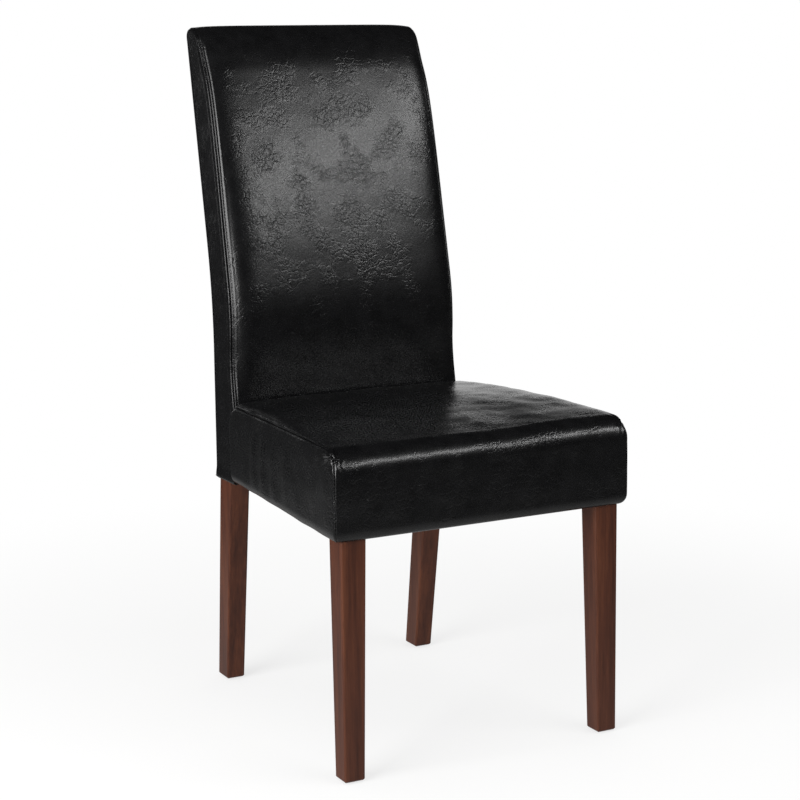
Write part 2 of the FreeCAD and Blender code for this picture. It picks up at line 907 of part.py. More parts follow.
def across(path, half_length):
    """A side view outline carried straight across the chair."""
    face = Part.Face(side_wire(path, lambda y, z: half_length, -1.0))
    return face.extrude(FreeCAD.Vector(2.0 * half_length, 0, 0))


def back_rear_board():
    """Thin board over the rear of the posts and rails."""
    rear_depth = post_set_back - back_board_thickness
    return curved_board(post_set_back, rear_depth, post_half_width(overall_height))


def back_rear_wadding():
    """Wadding behind the board, above the straight part of the back."""
    front_depth = post_set_back - back_board_thickness
    rear_depth = front_depth - rear_wadding_thickness
    front = rear_surface_path(front_depth, bend_start, 0.0)[0]
    rear = rear_surface_path(rear_depth, bend_start, 0.0)[0]
    front_top = back_point(front_depth, post_climb())
    rear_top = back_point(rear_depth, post_climb())
    path = [front[::-1], [front[0], front_top], [front_top, rear_top]]
    path += [[rear_top, rear[0]], rear, [rear[2], front[2]]]
    return across(path, post_half_width(overall_height))


# Underside and feet

def dust_cover():
    """Thin cloth under the seat frame, cut out round the legs."""
    front = leg_front_y + dust_cover_margin
    front_half = rail_outer(front) - dust_cover_margin
    rear = post_rear_y - dust_cover_margin
    rear_half = rail_outer(rear) - dust_cover_margin
    sheet = prism(
        [(-front_half, front), (front_half, front), (rear_half, rear), (-rear_half, rear)],
        seat_bottom, rail_bottom)
    gap = soft_gap
    low = seat_bottom - leather
    front_leg_space = box(
        -front_half - gap, -front_leg_inner + gap, front - gap, leg_rear_y + gap, low, rail_top)
    rear_leg_space = box(
        -rear_half - front_leg_top, -post_inner + gap, post_front_y - gap, rear + gap, low, rail_top)
    spaces = [front_leg_space, rear_leg_space]
    return sheet.cut(spaces + [mirrored(space) for space in spaces])


def staple_row(start, end):
    """Staple crowns under a straight rail, in line with it."""
    run = end - start
    count = int(run.Length / staple_pitch)
    direction = FreeCAD.Vector(run).normalize()
    turn = FreeCAD.Rotation(FreeCAD.Vector(1, 0, 0), direction)
    staples = []
    for index in range(count):
        centre = start + direction * (run.Length * (index + 0.5) / count)
        corner = FreeCAD.Vector(-staple_length / 2.0, -staple_width / 2.0, 0)
        staple = Part.makeBox(staple_length, staple_width, staple_thickness, corner)
        staple.Placement = FreeCAD.Placement(centre, turn)
        staples.append(staple)
    return staples


def dust_cover_staples():
    """Staples that hold the dust cover to the four seat rails."""
    z = seat_bottom - staple_thickness
    front_y = leg_front_y + staple_inset
    rear_y = post_front_y + staple_inset
    front_x = front_leg_inner - staple_inset
    rear_x = post_inner - staple_inset
    side_front = leg_rear_y + staple_inset
    side_rear = post_front_y - staple_inset
    front = staple_row(FreeCAD.Vector(-front_x, front_y, z), FreeCAD.Vector(front_x, front_y, z))
    rear = staple_row(FreeCAD.Vector(-rear_x, rear_y, z), FreeCAD.Vector(rear_x, rear_y, z))
    side = staple_row(
        FreeCAD.Vector(-rail_outer(side_front) + staple_inset, side_front, z),
        FreeCAD.Vector(-rail_outer(side_rear) + staple_inset, side_rear, z))
    return Part.makeCompound(front + rear + side + [mirrored(s) for s in side])


def front_foot_centre():
    """Middle of the left front foot."""
    taper = front_leg_top - front_leg_foot
    x = -(front_leg_outer + front_leg_inner + taper) / 2.0
    return (x, (leg_front_y + leg_rear_y - taper) / 2.0)


def rear_foot_centre():
    """Middle of the left rear foot."""
    x = -(post_outer - rear_leg_inward) + rear_leg_width_foot / 2.0
    return (x, post_front_y + rear_leg_kick + rear_leg_depth_foot / 2.0)


def glide_nail(x, y):
    """Nail of a glide, up into the leg."""
    base = FreeCAD.Vector(x, y, glide_height)
    return Part.makeCylinder(glide_nail_radius, glide_nail_length, base)


def glide(x, y):
    """Round plastic glide with its nail."""
    disc = Part.makeCylinder(glide_radius, glide_height, FreeCAD.Vector(x, y, 0))
    return disc.fuse(glide_nail(x, y)).removeSplitter()


def chair():
    """All pieces by name."""
    screws = [screw(*seat) for seat in screw_seats()]
    other_screws = [mirrored(shape) for shape in screws]
    top_rail, middle_rail = leaning_rails()
    pieces = {
        "seat_front_rail": front_rail().cut([screws[0], other_screws[0]]),
        "seat_rear_rail": rear_rail().cut([screws[2], other_screws[2]]),
        "back_top_rail": top_rail,
        "back_middle_rail": middle_rail,
        "back_bottom_rail": bottom_rail(),
        "seat_webbing_lengthwise": seat_webbing_lengthwise(),
        "seat_webbing_crosswise": seat_webbing_crosswise(),
        "back_webbing": back_webbing(),
        "seat_foam": cushion(seat_foam_path, seat_foam_width),
        "seat_front_padding": seat_front_padding(),
        "back_foam": cushion(back_foam_path, back_foam_width),
        "back_rear_board": back_rear_board(),
        "back_rear_wadding": back_rear_wadding(),
        "seat_cover_top": cushion(seat_panel_path, inside_seat_cover),
        "back_cover_panel": cushion(back_panel_path, inside_back_cover),
        "dust_cover": dust_cover(),
        "dust_cover_staples": dust_cover_staples(),
        "leg_hanger_bolts": both_sides([hanger_bolt()]),
        "leg_washers": both_sides([washer()]),
        "leg_nuts": both_sides([nut()]),
        "corner_block_screws": both_sides(screws),
    }
    left_pieces = {
        "front_leg": mortised_front_leg(),
        "rear_post": mortised_rear_post(),
        "seat_side_rail": side_rail().cut([screws[1], screws[3]]),
        "corner_block_front": front_block(),
        "corner_block_rear": rear_block(),
        "seat_side_padding": seat_side_padding(),
        "back_side_wadding": back_side_wadding(),
        "seat_cover_side": seat_cover_side(),
        "back_cover_side": back_cover_side(),
        "foot_glide_front": glide(*front_foot_centre()),
        "foot_glide_rear": glide(*rear_foot_centre()),
    }
    for name, shape in left_pieces.items():
        pieces[name + "_left"] = shape
        pieces[name + "_right"] = mirrored(shape)
    return pieces


os.makedirs("parts", exist_ok=True)
for name, shape in chair().items():
    shape.exportStep("parts/" + name + ".step")
    print(name, len(shape.Solids), round(shape.Volume / 1000.0, 1), "cm3", shape.isValid())
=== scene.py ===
import bpy
import bmesh
import math
import random
from mathutils import Matrix, Vector, kdtree, noise


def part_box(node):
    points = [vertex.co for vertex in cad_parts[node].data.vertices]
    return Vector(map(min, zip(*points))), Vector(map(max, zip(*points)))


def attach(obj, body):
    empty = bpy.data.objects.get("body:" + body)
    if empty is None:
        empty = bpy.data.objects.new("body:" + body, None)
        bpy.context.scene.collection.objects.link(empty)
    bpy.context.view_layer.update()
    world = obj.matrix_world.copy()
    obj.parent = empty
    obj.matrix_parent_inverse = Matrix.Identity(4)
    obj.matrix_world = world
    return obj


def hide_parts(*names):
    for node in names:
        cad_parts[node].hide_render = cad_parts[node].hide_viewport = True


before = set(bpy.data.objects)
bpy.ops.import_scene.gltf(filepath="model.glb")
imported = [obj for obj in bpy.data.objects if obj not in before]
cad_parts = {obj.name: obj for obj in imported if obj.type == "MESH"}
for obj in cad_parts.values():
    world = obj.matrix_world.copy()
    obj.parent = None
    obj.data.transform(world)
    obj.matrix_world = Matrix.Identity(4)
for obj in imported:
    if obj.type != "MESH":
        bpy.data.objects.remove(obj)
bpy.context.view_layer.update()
mm = 0.001
sides = ((-1, "left"), (1, "right"))
print("frame loaded:", len(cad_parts), "nodes")


# Lengths below are in millimetres, in the frame's own axes. Meshes are brought to metres at the end.

def nodeBox(name):
    low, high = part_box(name)
    return low / mm, high / mm


def linearColour(hexColour):
    values = [int(hexColour[i:i + 2], 16) / 255.0 for i in (1, 3, 5)]
    return [v / 12.92 if v <= 0.04045 else ((v + 0.055) / 1.055) ** 2.4 for v in values] + [1.0]


def addNode(tree, kind, settings=None, links=None):
    node = tree.nodes.new("ShaderNode" + kind)
    for name, value in (settings or {}).items():
        setattr(node, name, value)
    for key, value in (links or {}).items():
        if isinstance(value, bpy.types.NodeSocket):
            tree.links.new(value, node.inputs[key])
        else:
            node.inputs[key].default_value = value
    return node


def newMaterial(name, surface):
    material = bpy.data.materials.new(name)
    material.use_nodes = True
    shader = material.node_tree.nodes["Principled BSDF"]
    for key, value in surface.items():
        shader.inputs[key].default_value = value
    return material, material.node_tree, shader


def rampBetween(tree, factor, stops):
    ramp = addNode(tree, "ValToRGB", links={"Fac": factor})
    elements = ramp.color_ramp.elements
    while len(elements) < len(stops):
        elements.new(0.5)
    for element, (place, colour) in zip(elements, stops):
        element.position = place
        element.color = linearColour(colour) if isinstance(colour, str) else (colour, colour, colour, 1.0)
    return ramp.outputs["Color"]


smoothStep = {"interpolation_type": "SMOOTHSTEP"}


def colourAndBump(tree, shader, tone, height, depth, strength):
    # depth of the bump in mm
    tree.links.new(tone, shader.inputs["Base Color"])
    bump = addNode(tree, "Bump", links={"Height": height, "Distance": depth * mm, "Strength": strength})
    tree.links.new(bump.outputs[0], shader.inputs["Normal"])


# Leather

leatherLook = {
    "dark": "#080809", "light": "#0f0f10", "roughLow": 0.25, "roughHigh": 0.3,
    "pebble": 2.0,         # mm; the real grain is about 1 mm, drawn coarser so that it shows
    "crease": 11.0, "creaseWidth": 1.5,        # mm across the plates between long creases, their width
    "crinkle": 4.6, "crinkleWidth": 1.3,       # the same for the short ones
    "patch": 38.0,         # mm across the places where creases gather
    "swell": 70.0,         # mm, slow unevenness of the foam under the leather
    "wander": 1.3,         # how far the creases stray, as a share of a plate
}


def creaseField(tree, place, size, width):
    # 0 along thin branching lines, 1 on the plates between them
    edge = addNode(tree, "TexVoronoi", {"feature": "DISTANCE_TO_EDGE"},
                   {"Vector": place, "Scale": 1.0 / (size * mm)}).outputs["Distance"]
    return addNode(tree, "MapRange", smoothStep,
                   {0: edge, 1: 0.0, 2: width / size, 3: 0.0, 4: 1.0}).outputs[0]


def coatedLeather():
    # bonded leather, embossed and clear coated: near black, a satin sheen broken by fine branching creases
    look = leatherLook
    material, tree, shader = newMaterial("black_bonded_leather_embossed_satin", {
        "Roughness": look["roughLow"], "IOR": 1.5})
    place = addNode(tree, "TexCoord").outputs["Object"]
    wander = addNode(tree, "TexNoise", links={"Vector": place, "Scale": 0.5 / (look["crease"] * mm),
                                              "Detail": 4.0, "Roughness": 0.62})
    shift = addNode(tree, "VectorMath", {"operation": "SCALE"},
                    {0: wander.outputs["Color"], "Scale": look["wander"] * look["crease"] * mm}).outputs[0]
    warped = addNode(tree, "VectorMath", {"operation": "ADD"}, {0: place, 1: shift}).outputs[0]
    fields = {}
    for name, detail in (("patch", 2.0), ("swell", 1.0), ("pebble", 1.0)):
        fields[name] = addNode(tree, "TexNoise", links={"Vector": place, "Scale": 1.0 / (look[name] * mm),
                                                        "Detail": detail}).outputs["Fac"]
    gathered = addNode(tree, "MapRange", smoothStep,
                       {0: fields["patch"], 1: 0.42, 2: 0.62, 3: 0.1, 4: 1.0}).outputs[0]
    for name in ("crease", "crinkle"):
        lines = creaseField(tree, warped, look[name], look[name + "Width"])
        fields[name] = addNode(tree, "Math", {"operation": "MULTIPLY"}, {0: lines, 1: gathered}).outputs[0]
    normal = None
    for name, depth, strength in (("swell", 1.8, 0.5), ("crease", 0.2, 0.8), ("crinkle", 0.09, 0.8),
                                  ("pebble", 0.09, 0.5)):
        links = {"Height": fields[name], "Distance": depth * mm, "Strength": strength}
        if normal:
            links["Normal"] = normal
        normal = addNode(tree, "Bump", links=links).outputs[0]
    tree.links.new(normal, shader.inputs["Normal"])
    tone = rampBetween(tree, wander.outputs["Fac"], [(0.35, look["dark"]), (0.65, look["light"])])
    tree.links.new(tone, shader.inputs["Base Color"])
    blotch = addNode(tree, "TexNoise", links={"Vector": place, "Scale": 1.0 / (look["pebble"] * mm),
                                              "Detail": 2.0, "Roughness": 0.5})
    polish = rampBetween(tree, blotch.outputs["Fac"], [(0.3, look["roughLow"]), (0.7, look["roughHigh"])])
    tree.links.new(polish, shader.inputs["Roughness"])
    return material


# Wood and what is under the covers

def stainedWood():
    # rubberwood, stained dark brown under satin lacquer: fine upright grain with short darker pores
    material, tree, shader = newMaterial("rubberwood_stained_brown_lacquered", {
        "Roughness": 0.42, "IOR": 1.5, "Specular IOR Level": 0.3, "Coat Weight": 0.05, "Coat Roughness": 0.2})
    place = addNode(tree, "TexCoord").outputs["Object"]
    along = addNode(tree, "Mapping", links={"Vector": place, "Scale": (1.0, 1.0, 0.045)}).outputs[0]
    streaks = addNode(tree, "TexNoise", links={"Vector": along, "Scale": 1.0 / (3.2 * mm),
                                               "Detail": 5.0, "Roughness": 0.65})
    bands = addNode(tree, "TexNoise", links={"Vector": along, "Scale": 1.0 / (16.0 * mm), "Detail": 2.0})
    broad = addNode(tree, "Math", {"operation": "MULTIPLY"}, {0: bands.outputs["Fac"], 1: 0.55})
    grain = addNode(tree, "Math", {"operation": "MULTIPLY_ADD"},
                    {0: streaks.outputs["Fac"], 1: 0.45, 2: broad.outputs[0]}).outputs[0]
    tone = rampBetween(tree, grain, [(0.32, "#31160c"), (0.5, "#482415"), (0.66, "#59301c")])
    poreStretch = addNode(tree, "Mapping", links={"Vector": place, "Scale": (1.0, 1.0, 0.08)})
    pores = addNode(tree, "TexVoronoi", {"feature": "F1"},
                    {"Vector": poreStretch.outputs[0], "Scale": 1.0 / (1.9 * mm)})
    poreShade = rampBetween(tree, pores.outputs["Distance"], [(0.08, 0.55), (0.24, 1.0)])
    shaded = addNode(tree, "Mix", {"data_type": "RGBA", "blend_type": "MULTIPLY"},
                     {0: 0.6, 6: tone, 7: poreShade})
    colourAndBump(tree, shader, shaded.outputs[2], grain, 0.12, 0.5)
    return material


def grainedMaterial(name, surface, grain, stops, detail=4.0, stretch=(1.0, 1.0, 1.0), relief=None):
    # colour follows noise of one grain in mm; relief is its depth in mm and its strength
    material, tree, shader = newMaterial(name, surface)
    place = addNode(tree, "TexCoord").outputs["Object"]
    along = addNode(tree, "Mapping", links={"Vector": place, "Scale": stretch}).outputs[0]
    pattern = addNode(tree, "TexNoise", links={"Vector": along, "Scale": 1.0 / (grain * mm),
                                               "Detail": detail}).outputs["Fac"]
    tone = rampBetween(tree, pattern, stops)
    tree.links.new(tone, shader.inputs["Base Color"])
    if relief:
        colourAndBump(tree, shader, tone, pattern, *relief)
    return material


def spunCloth():
    # spunbonded polypropylene, thin and matt: a dotted bond pattern drawn 2 mm apart, fibres at random
    material, tree, shader = newMaterial("polypropylene_spunbonded_black", {"Roughness": 0.85, "IOR": 1.49})
    place = addNode(tree, "TexCoord").outputs["Object"]
    dots = addNode(tree, "TexVoronoi", {"feature": "F1"},
                   {"Vector": place, "Scale": 1.0 / (2.0 * mm), "Randomness": 0.15})
    fibres = addNode(tree, "TexNoise", links={"Vector": place, "Scale": 1.0 / (1.2 * mm), "Detail": 5.0})
    tone = rampBetween(tree, fibres.outputs["Fac"], [(0.3, "#101011"), (0.7, "#232325")])
    colourAndBump(tree, shader, tone, dots.outputs["Distance"], 0.2, 0.5)
    return material


def elasticWebbing():
    # polypropylene and rubber, woven: two stripes along a grey brown strap, ribs across it
    ribPitch = 2.2
    pale, dark = "#7c7266", "#3a2f28"
    material, tree, shader = newMaterial("elastic_webbing_woven", {"Roughness": 0.8, "IOR": 1.5})
    across = addNode(tree, "UVMap", {"uv_map": "strap"}).outputs["UV"]
    split = addNode(tree, "SeparateXYZ", links={0: across})
    turns = addNode(tree, "Math", {"operation": "MULTIPLY"},
                    {0: split.outputs["X"], 1: 2.0 * math.pi / ribPitch}).outputs[0]
    ribs = addNode(tree, "Math", {"operation": "SINE"}, {0: turns})
    tone = rampBetween(tree, split.outputs["Y"], [(0.0, pale), (0.2, dark), (0.3, pale),
                                                  (0.7, pale), (0.8, dark), (1.0, pale)])
    colourAndBump(tree, shader, tone, ribs.outputs[0], 0.3, 0.6)
    return material


leather = coatedLeather()
# bonded polyester thread, twisted: dull black, a little paler than the leather
thread = grainedMaterial("black_polyester_thread_twisted", {"Roughness": 0.6, "IOR": 1.5}, 0.8,
                         [(0.3, "#050505"), (0.7, "#101010")], detail=2.0)
legWood = stainedWood()
# kiln dried hardwood and boards, planed, sawn or pressed and left bare: pale, matt, with straight grain
bare = {"Roughness": 0.72, "IOR": 1.5}
railWood = grainedMaterial("hardwood_planed_bare", bare, 4.0, [(0.35, "#8f6a42"), (0.65, "#b58a5c")],
                           stretch=(0.05, 1.0, 1.0), relief=(0.2, 0.4))
blockWood = grainedMaterial("plywood_sawn_bare", bare, 4.0, [(0.35, "#96724a"), (0.65, "#bd9667")],
                            stretch=(0.3, 0.3, 1.0), relief=(0.2, 0.4))
boardWood = grainedMaterial("hardboard_pressed", bare, 4.0, [(0.35, "#4f3523"), (0.65, "#6d4c33")],
                            relief=(0.2, 0.4))
# mild steel, bright zinc plated: cool grey, slightly blotched
steel = grainedMaterial("steel_zinc_plated", {"Metallic": 1.0, "Roughness": 0.34}, 5.0,
                        [(0.3, "#a9abad"), (0.7, "#c4c6c8")], detail=3.0)
# polyethylene, injection moulded: black brown, waxy and faintly scuffed
glidePlastic = grainedMaterial("polyethylene_moulded_brown", {"Roughness": 0.5, "IOR": 1.51}, 2.0,
                               [(0.4, "#1d1512"), (0.75, "#2c211c")])
dustCloth = spunCloth()
webbing = elasticWebbing()

nodeFinishes = {
    "front_leg": legWood, "rear_post": legWood, "corner_block_screws": steel, "corner_block": blockWood,
    "seat_front_rail": railWood, "seat_rear_rail": railWood, "seat_side_rail": railWood,
    "back_top_rail": railWood, "back_middle_rail": railWood, "back_bottom_rail": railWood,
    "back_rear_board": boardWood, "leg_": steel, "dust_cover_staples": steel, "foot_glide": glidePlastic,
}
for nodeName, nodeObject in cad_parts.items():
    for start, finish in nodeFinishes.items():
        if nodeName.startswith(start):
            nodeObject.data.materials.clear()
            nodeObject.data.materials.append(finish)
            break
print("materials made")


# Curves in the side view, as points (y, z)

def arcPoints(centre, radius, start, end, count):
    angles = [start + (end - start) * i / count for i in range(count + 1)]
    return [(centre[0] + radius * math.cos(a), centre[1] + radius * math.sin(a)) for a in angles]


def linePoints(start, end, count):
    return [(start[0] + (end[0] - start[0]) * i / count, start[1] + (end[1] - start[1]) * i / count)
            for i in range(count + 1)]


def bowPoints(start, middleHeight, end, count):
    points = []
    for i in range(count + 1):
        t = i / count
        bow = middleHeight - (start[1] + end[1]) / 2.0
        points.append((start[0] + (end[0] - start[0]) * t,
                       start[1] + (end[1] - start[1]) * t + 4.0 * bow * t * (1.0 - t)))
    return points


def joined(*runs):
    points = list(runs[0])
    for run in runs[1:]:
        points += run[1:]
    return points


def lengthsAlong(points):
    lengths = [0.0]
    for a, b in zip(points, points[1:]):
        lengths.append(lengths[-1] + math.dist(a, b))
    return lengths


def pointAt(points, lengths, distance):
    low, high = 0, len(lengths) - 1
    while high - low > 1:
        middle = (low + high) // 2
        if lengths[middle] <= distance:
            low = middle
        else:
            high = middle
    span = lengths[high] - lengths[low]
    share = (distance - lengths[low]) / span if span > 0.0 else 0.0
    return tuple(a + (b - a) * share for a, b in zip(points[low], points[high]))


def gradedSteps(length, fineStart, fineEnd, coarse):
    # places from 0 to length, close together near the seams and wide apart between them
    fineReach, growth, leastGap = 16.0, 1.22, 0.35

    def oneSide(fine, limit):
        places, step = [0.0], fine
        while places[-1] + step < limit:
            places.append(places[-1] + step)
            if places[-1] > (fineReach if fine < coarse else 0.0):
                step = min(step * growth, coarse)
        return places

    near = oneSide(fineStart, length / 2.0)
    far = [length - p for p in oneSide(fineEnd, length / 2.0)][::-1]
    if far[0] - near[-1] < leastGap * coarse:
        near = near[:-1]
    return near + far


def roundOff(distance, reach, depth):
    return depth * (1.0 - distance / reach) ** 2 if distance < reach else 0.0


def hump(distance, width):
    return math.exp(-(distance / width) ** 2)


# Meshes

def placedGrid(bm, columns, rows, place):
    # a grid brought into place, and the column and row of each of its vertices
    made = bmesh.ops.create_grid(bm, x_segments=len(columns) - 1, y_segments=len(rows) - 1, size=1.0)
    spots = {}
    for vert in made["verts"]:
        column = columns[round((vert.co.x + 1.0) / 2.0 * (len(columns) - 1))]
        row = rows[round((vert.co.y + 1.0) / 2.0 * (len(rows) - 1))]
        spots[vert] = (column, row)
        vert.co = place(column, row)
    bm.normal_update()
    return spots


def gridPanel(columns, rows, place):
    bm = bmesh.new()
    placedGrid(bm, columns, rows, place)
    return bm


def faceOutwards(bm, centre):
    total = sum((face.calc_center_median() - centre).dot(face.normal) * face.calc_area() for face in bm.faces)
    if total < 0.0:
        bmesh.ops.reverse_faces(bm, faces=bm.faces)
    bm.normal_update()


def finishPiece(name, bm, material, thickness=0.0):
    mesh = bpy.data.meshes.new(name)
    bmesh.ops.scale(bm, vec=(mm, mm, mm), verts=bm.verts)
    bm.to_mesh(mesh)
    bm.free()
    mesh.materials.append(material)
    for polygon in mesh.polygons:
        polygon.use_smooth = True
    piece = bpy.data.objects.new(name, mesh)
    bpy.context.scene.collection.objects.link(piece)
    if thickness:
        shell = piece.modifiers.new("thickness", "SOLIDIFY")
        shell.thickness = thickness * mm
        shell.offset = -1.0
    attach(piece, "root")
    return piece


leatherThickness = 1.4


def coverPiece(name, bm, fill, *solids):
    # sewn leather over padding, in place of the soft solids that it covers
    piece = finishPiece(name, bm, leather, leatherThickness)
    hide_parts(*solids)
    return piece


# Seams

def nearestTree(points):
    tree = kdtree.KDTree(len(points))
    for index, point in enumerate(points):
        tree.insert(point, index)
    tree.balance()
    return tree


def seamLine(points, inward):
    # points along a seam, the way into the cushion at each of them, and a tree to find the nearest
    return {"tree": nearestTree(points), "points": points, "inward": inward}


seamBlend = 2.2          # within this of a seam the leather moves the seam's own way


def sewAlong(bm, seam, relief, reach):
    # pulls the leather in or out by its distance from the seam; at the seam both panels meet in one line
    moves = {}
    for vert in bm.verts:
        index, distance = seam["tree"].find(vert.co)[1:]
        if distance > reach:
            continue
        share = hump(distance, seamBlend)
        outwards = (vert.normal * (1.0 - share) - seam["inward"][index] * share).normalized()
        moves[vert] = outwards * relief(distance, index)
    for vert, move in moves.items():
        vert.co += move
    bm.normal_update()


def stitchRow(bm, places):
    # one ellipsoid of a few faces for each stitch, along the row and half sunk
    for place, along, normal in places:
        side = along.cross(normal).normalized()
        turn = Matrix((along, side, normal)).transposed().to_4x4()
        size = Matrix.Diagonal((stitch["length"] / 2.0, stitch["thread"] / 2.0, stitch["thread"] / 2.0, 1.0))
        bmesh.ops.create_uvsphere(bm, u_segments=6, v_segments=5, radius=1.0,
                                  matrix=Matrix.Translation(place + normal * stitch["lift"]) @ turn @ size)


# The back, seen from the side

back = {
    "bendStart": 520.0, "rearBendRadius": 820.0, "lean": math.radians(12.1),
    "thickness": 78.0, "crown": 11.0,
    "rollTurn": math.radians(35.0), "rollLarge": 150.0, "rollSmall": 36.0, "rearCorner": 16.0,
    "hem": 334.0, "hemDraw": 2.8, "hemTurn": 7.0, "frontLow": 425.0,
    "seamDepthFront": 20.0,     # from the middle of the front face back to the seam
    "seamDepthFoot": 5.7,       # the same, down beside the seat
    "footFrom": 440.0, "footTo": 540.0,          # heights between which the one becomes the other
    "seamDepthTop": 1.8, "seamDepthRear": 3.0,
    "topEaseBefore": 40.0, "topEaseAfter": 25.0, "rearEase": 30.0,     # where one depth passes to the next
    "topFrom": 30.0, "rearFrom": 12.0,           # below the top: where the roll and the rear start
    "topSkip": 40.0,                             # from the roll to the first place that can be the rear
    "seamCut": 9.0, "seamCutReach": 50.0,        # the seam cuts the corner where the front rolls over the top
    "edgePower": 16.0, "edgeShare": 0.58,        # the tight rounding beside the seam
    "swellPower": 6.0,                           # and the slow one further in
    "seamInFront": 2.4, "seamInTop": 1.6, "seamInRear": 1.6,     # from the strip's flat face in to the seam
    "upperCrown": 22.0, "upperCrownFrom": 660.0, "upperCrownReach": 370.0,
    "upperSeamTo": 60.0,        # below the top, where the seam has been drawn forward by half that crown
    "lumbar": 3.5, "lumbarHeight": 605.0, "lumbarReach": 55.0,
    "footDraw": 6.0, "footDrawFrom": 470.0, "footDrawTo": 560.0,
    "rise": 3.2, "wider": 1.0,  # the leather stands this much above the solid cover, and out from it
    "halfTop": 188.5, "halfRearOfSeat": 202.0,
    "rowStep": 4.4, "hemStep": 2.3, "fine": 0.95, "coarse": 6.5, "seamStep": 0.8, "spacedAt": 800.0,
    "topstitch": 5.0,           # from the seam to each row of topstitching
    "topstitchTo": 22.0, "topstitchFade": 12.0, "topstitchGone": 10.0,    # it ends this far below the top
    "sewReach": 16.0,           # how far from the seam its relief reaches
}
layerGap = 0.3                  # between pieces that lie on each other
seatFrontY = nodeBox("seat_cover_top")[0].y
seatBottom = nodeBox("seat_cover_top")[0].z
seatRearY = nodeBox("seat_cover_side_left")[1].y + layerGap
seatHalfFront = nodeBox("seat_cover_side_right")[1].x
backTop = nodeBox("back_cover_panel")[1].z + back["rise"]
backHalfBottom = nodeBox("back_cover_side_right")[1].x + back["wider"]
backRearY = seatRearY + back["thickness"]
bendCentreY = backRearY + back["rearBendRadius"]
leanSine, leanCosine = math.sin(back["lean"]), math.cos(back["lean"])


def seatHalfWidth(y):
    narrowing = back["halfRearOfSeat"] - seatHalfFront
    return seatHalfFront + narrowing * (y - seatFrontY) / (seatRearY - seatFrontY)


def backHalfWidth(z):
    return backHalfBottom + (back["halfTop"] - backHalfBottom) * (z - back["hem"]) / (backTop - back["hem"])


def leaningPoint(depth, climb):
    reach = back["rearBendRadius"] + depth
    return (bendCentreY - reach * leanCosine + climb * leanSine,
            back["bendStart"] + reach * leanSine + climb * leanCosine)


def easedShare(value, low, high):
    t = min(1.0, max(0.0, (value - low) / (high - low)))
    return t * t * (3.0 - 2.0 * t)


def frontDraw(z):
    # how far the front face is drawn back: thinner foam towards the top, a swell at the small of the back
    upper = min(1.0, max(0.0, (z - back["upperCrownFrom"]) / back["upperCrownReach"]))
    swell = back["lumbar"] * hump(z - back["lumbarHeight"], back["lumbarReach"])
    foot = back["footDraw"] * (1.0 - easedShare(z, back["footDrawFrom"], back["footDrawTo"]))
    return back["upperCrown"] * upper ** 2 - swell + foot


def backProfile():
    # middle of the back: up the front, over the top and down the rear, all in the side view
    depth = back["thickness"] + back["crown"]
    reach = back["rearBendRadius"] + depth
    rollHeight = back["rollSmall"] + (back["rollLarge"] - back["rollSmall"]) * math.sin(back["rollTurn"])
    slopeReach = reach - back["rollLarge"]
    climb = (backTop - rollHeight - back["bendStart"] - slopeReach * leanSine) / leanCosine
    largeCentre = leaningPoint(depth - back["rollLarge"], climb)
    step = back["rollLarge"] - back["rollSmall"]
    smallCentre = (largeCentre[0] - step * math.cos(back["rollTurn"]),
                   largeCentre[1] + step * math.sin(back["rollTurn"]))
    bendCentre = (bendCentreY, back["bendStart"])
    cornerZ = backTop - back["rearCorner"]
    cornerReach = back["rearBendRadius"] + back["rearCorner"]
    cornerClimb = (cornerZ - back["bendStart"] - cornerReach * leanSine) / leanCosine
    cornerCentre = leaningPoint(back["rearCorner"], cornerClimb)
    frontBend = arcPoints(bendCentre, reach, math.pi, math.pi - back["lean"], 90)
    large = arcPoints(largeCentre, back["rollLarge"], math.pi - back["lean"], math.pi - back["rollTurn"], 40)
    small = arcPoints(smallCentre, back["rollSmall"], math.pi - back["rollTurn"], math.pi / 2.0, 40)
    corner = arcPoints(cornerCentre, back["rearCorner"], math.pi / 2.0, -back["lean"], 24)
    rearBend = arcPoints(bendCentre, back["rearBendRadius"], math.pi - back["lean"], math.pi, 80)
    low = (bendCentreY - back["rearBendRadius"] - back["hemDraw"], back["hem"])
    turned = (low[0] - back["hemTurn"], back["hem"])
    front = joined(linePoints((bendCentreY - reach, back["frontLow"]), frontBend[0], 40), frontBend,
                   linePoints(frontBend[-1], large[0], 60), large, small)
    front = [(y + frontDraw(z), z) for y, z in front]
    return joined(front, linePoints(front[-1], corner[0], 10), corner,
                  linePoints(corner[-1], rearBend[0], 120), rearBend, linePoints(rearBend[-1], low, 60),
                  linePoints(low, turned, 4))


backPath = backProfile()
backLengths = lengthsAlong(backPath)


def belowTop(drop):
    # how far along the path the front comes within this much of the top
    return next(l for p, l in zip(backPath, backLengths) if p[1] > backTop - drop)


topStart, topstitchEnd = belowTop(back["topFrom"]), belowTop(back["topstitchTo"])
rearStart = next(l for p, l in zip(backPath, backLengths)
                 if l > topStart + back["topSkip"] and p[1] < backTop - back["rearFrom"])
hemStart = backLengths[-1] - back["hemTurn"]


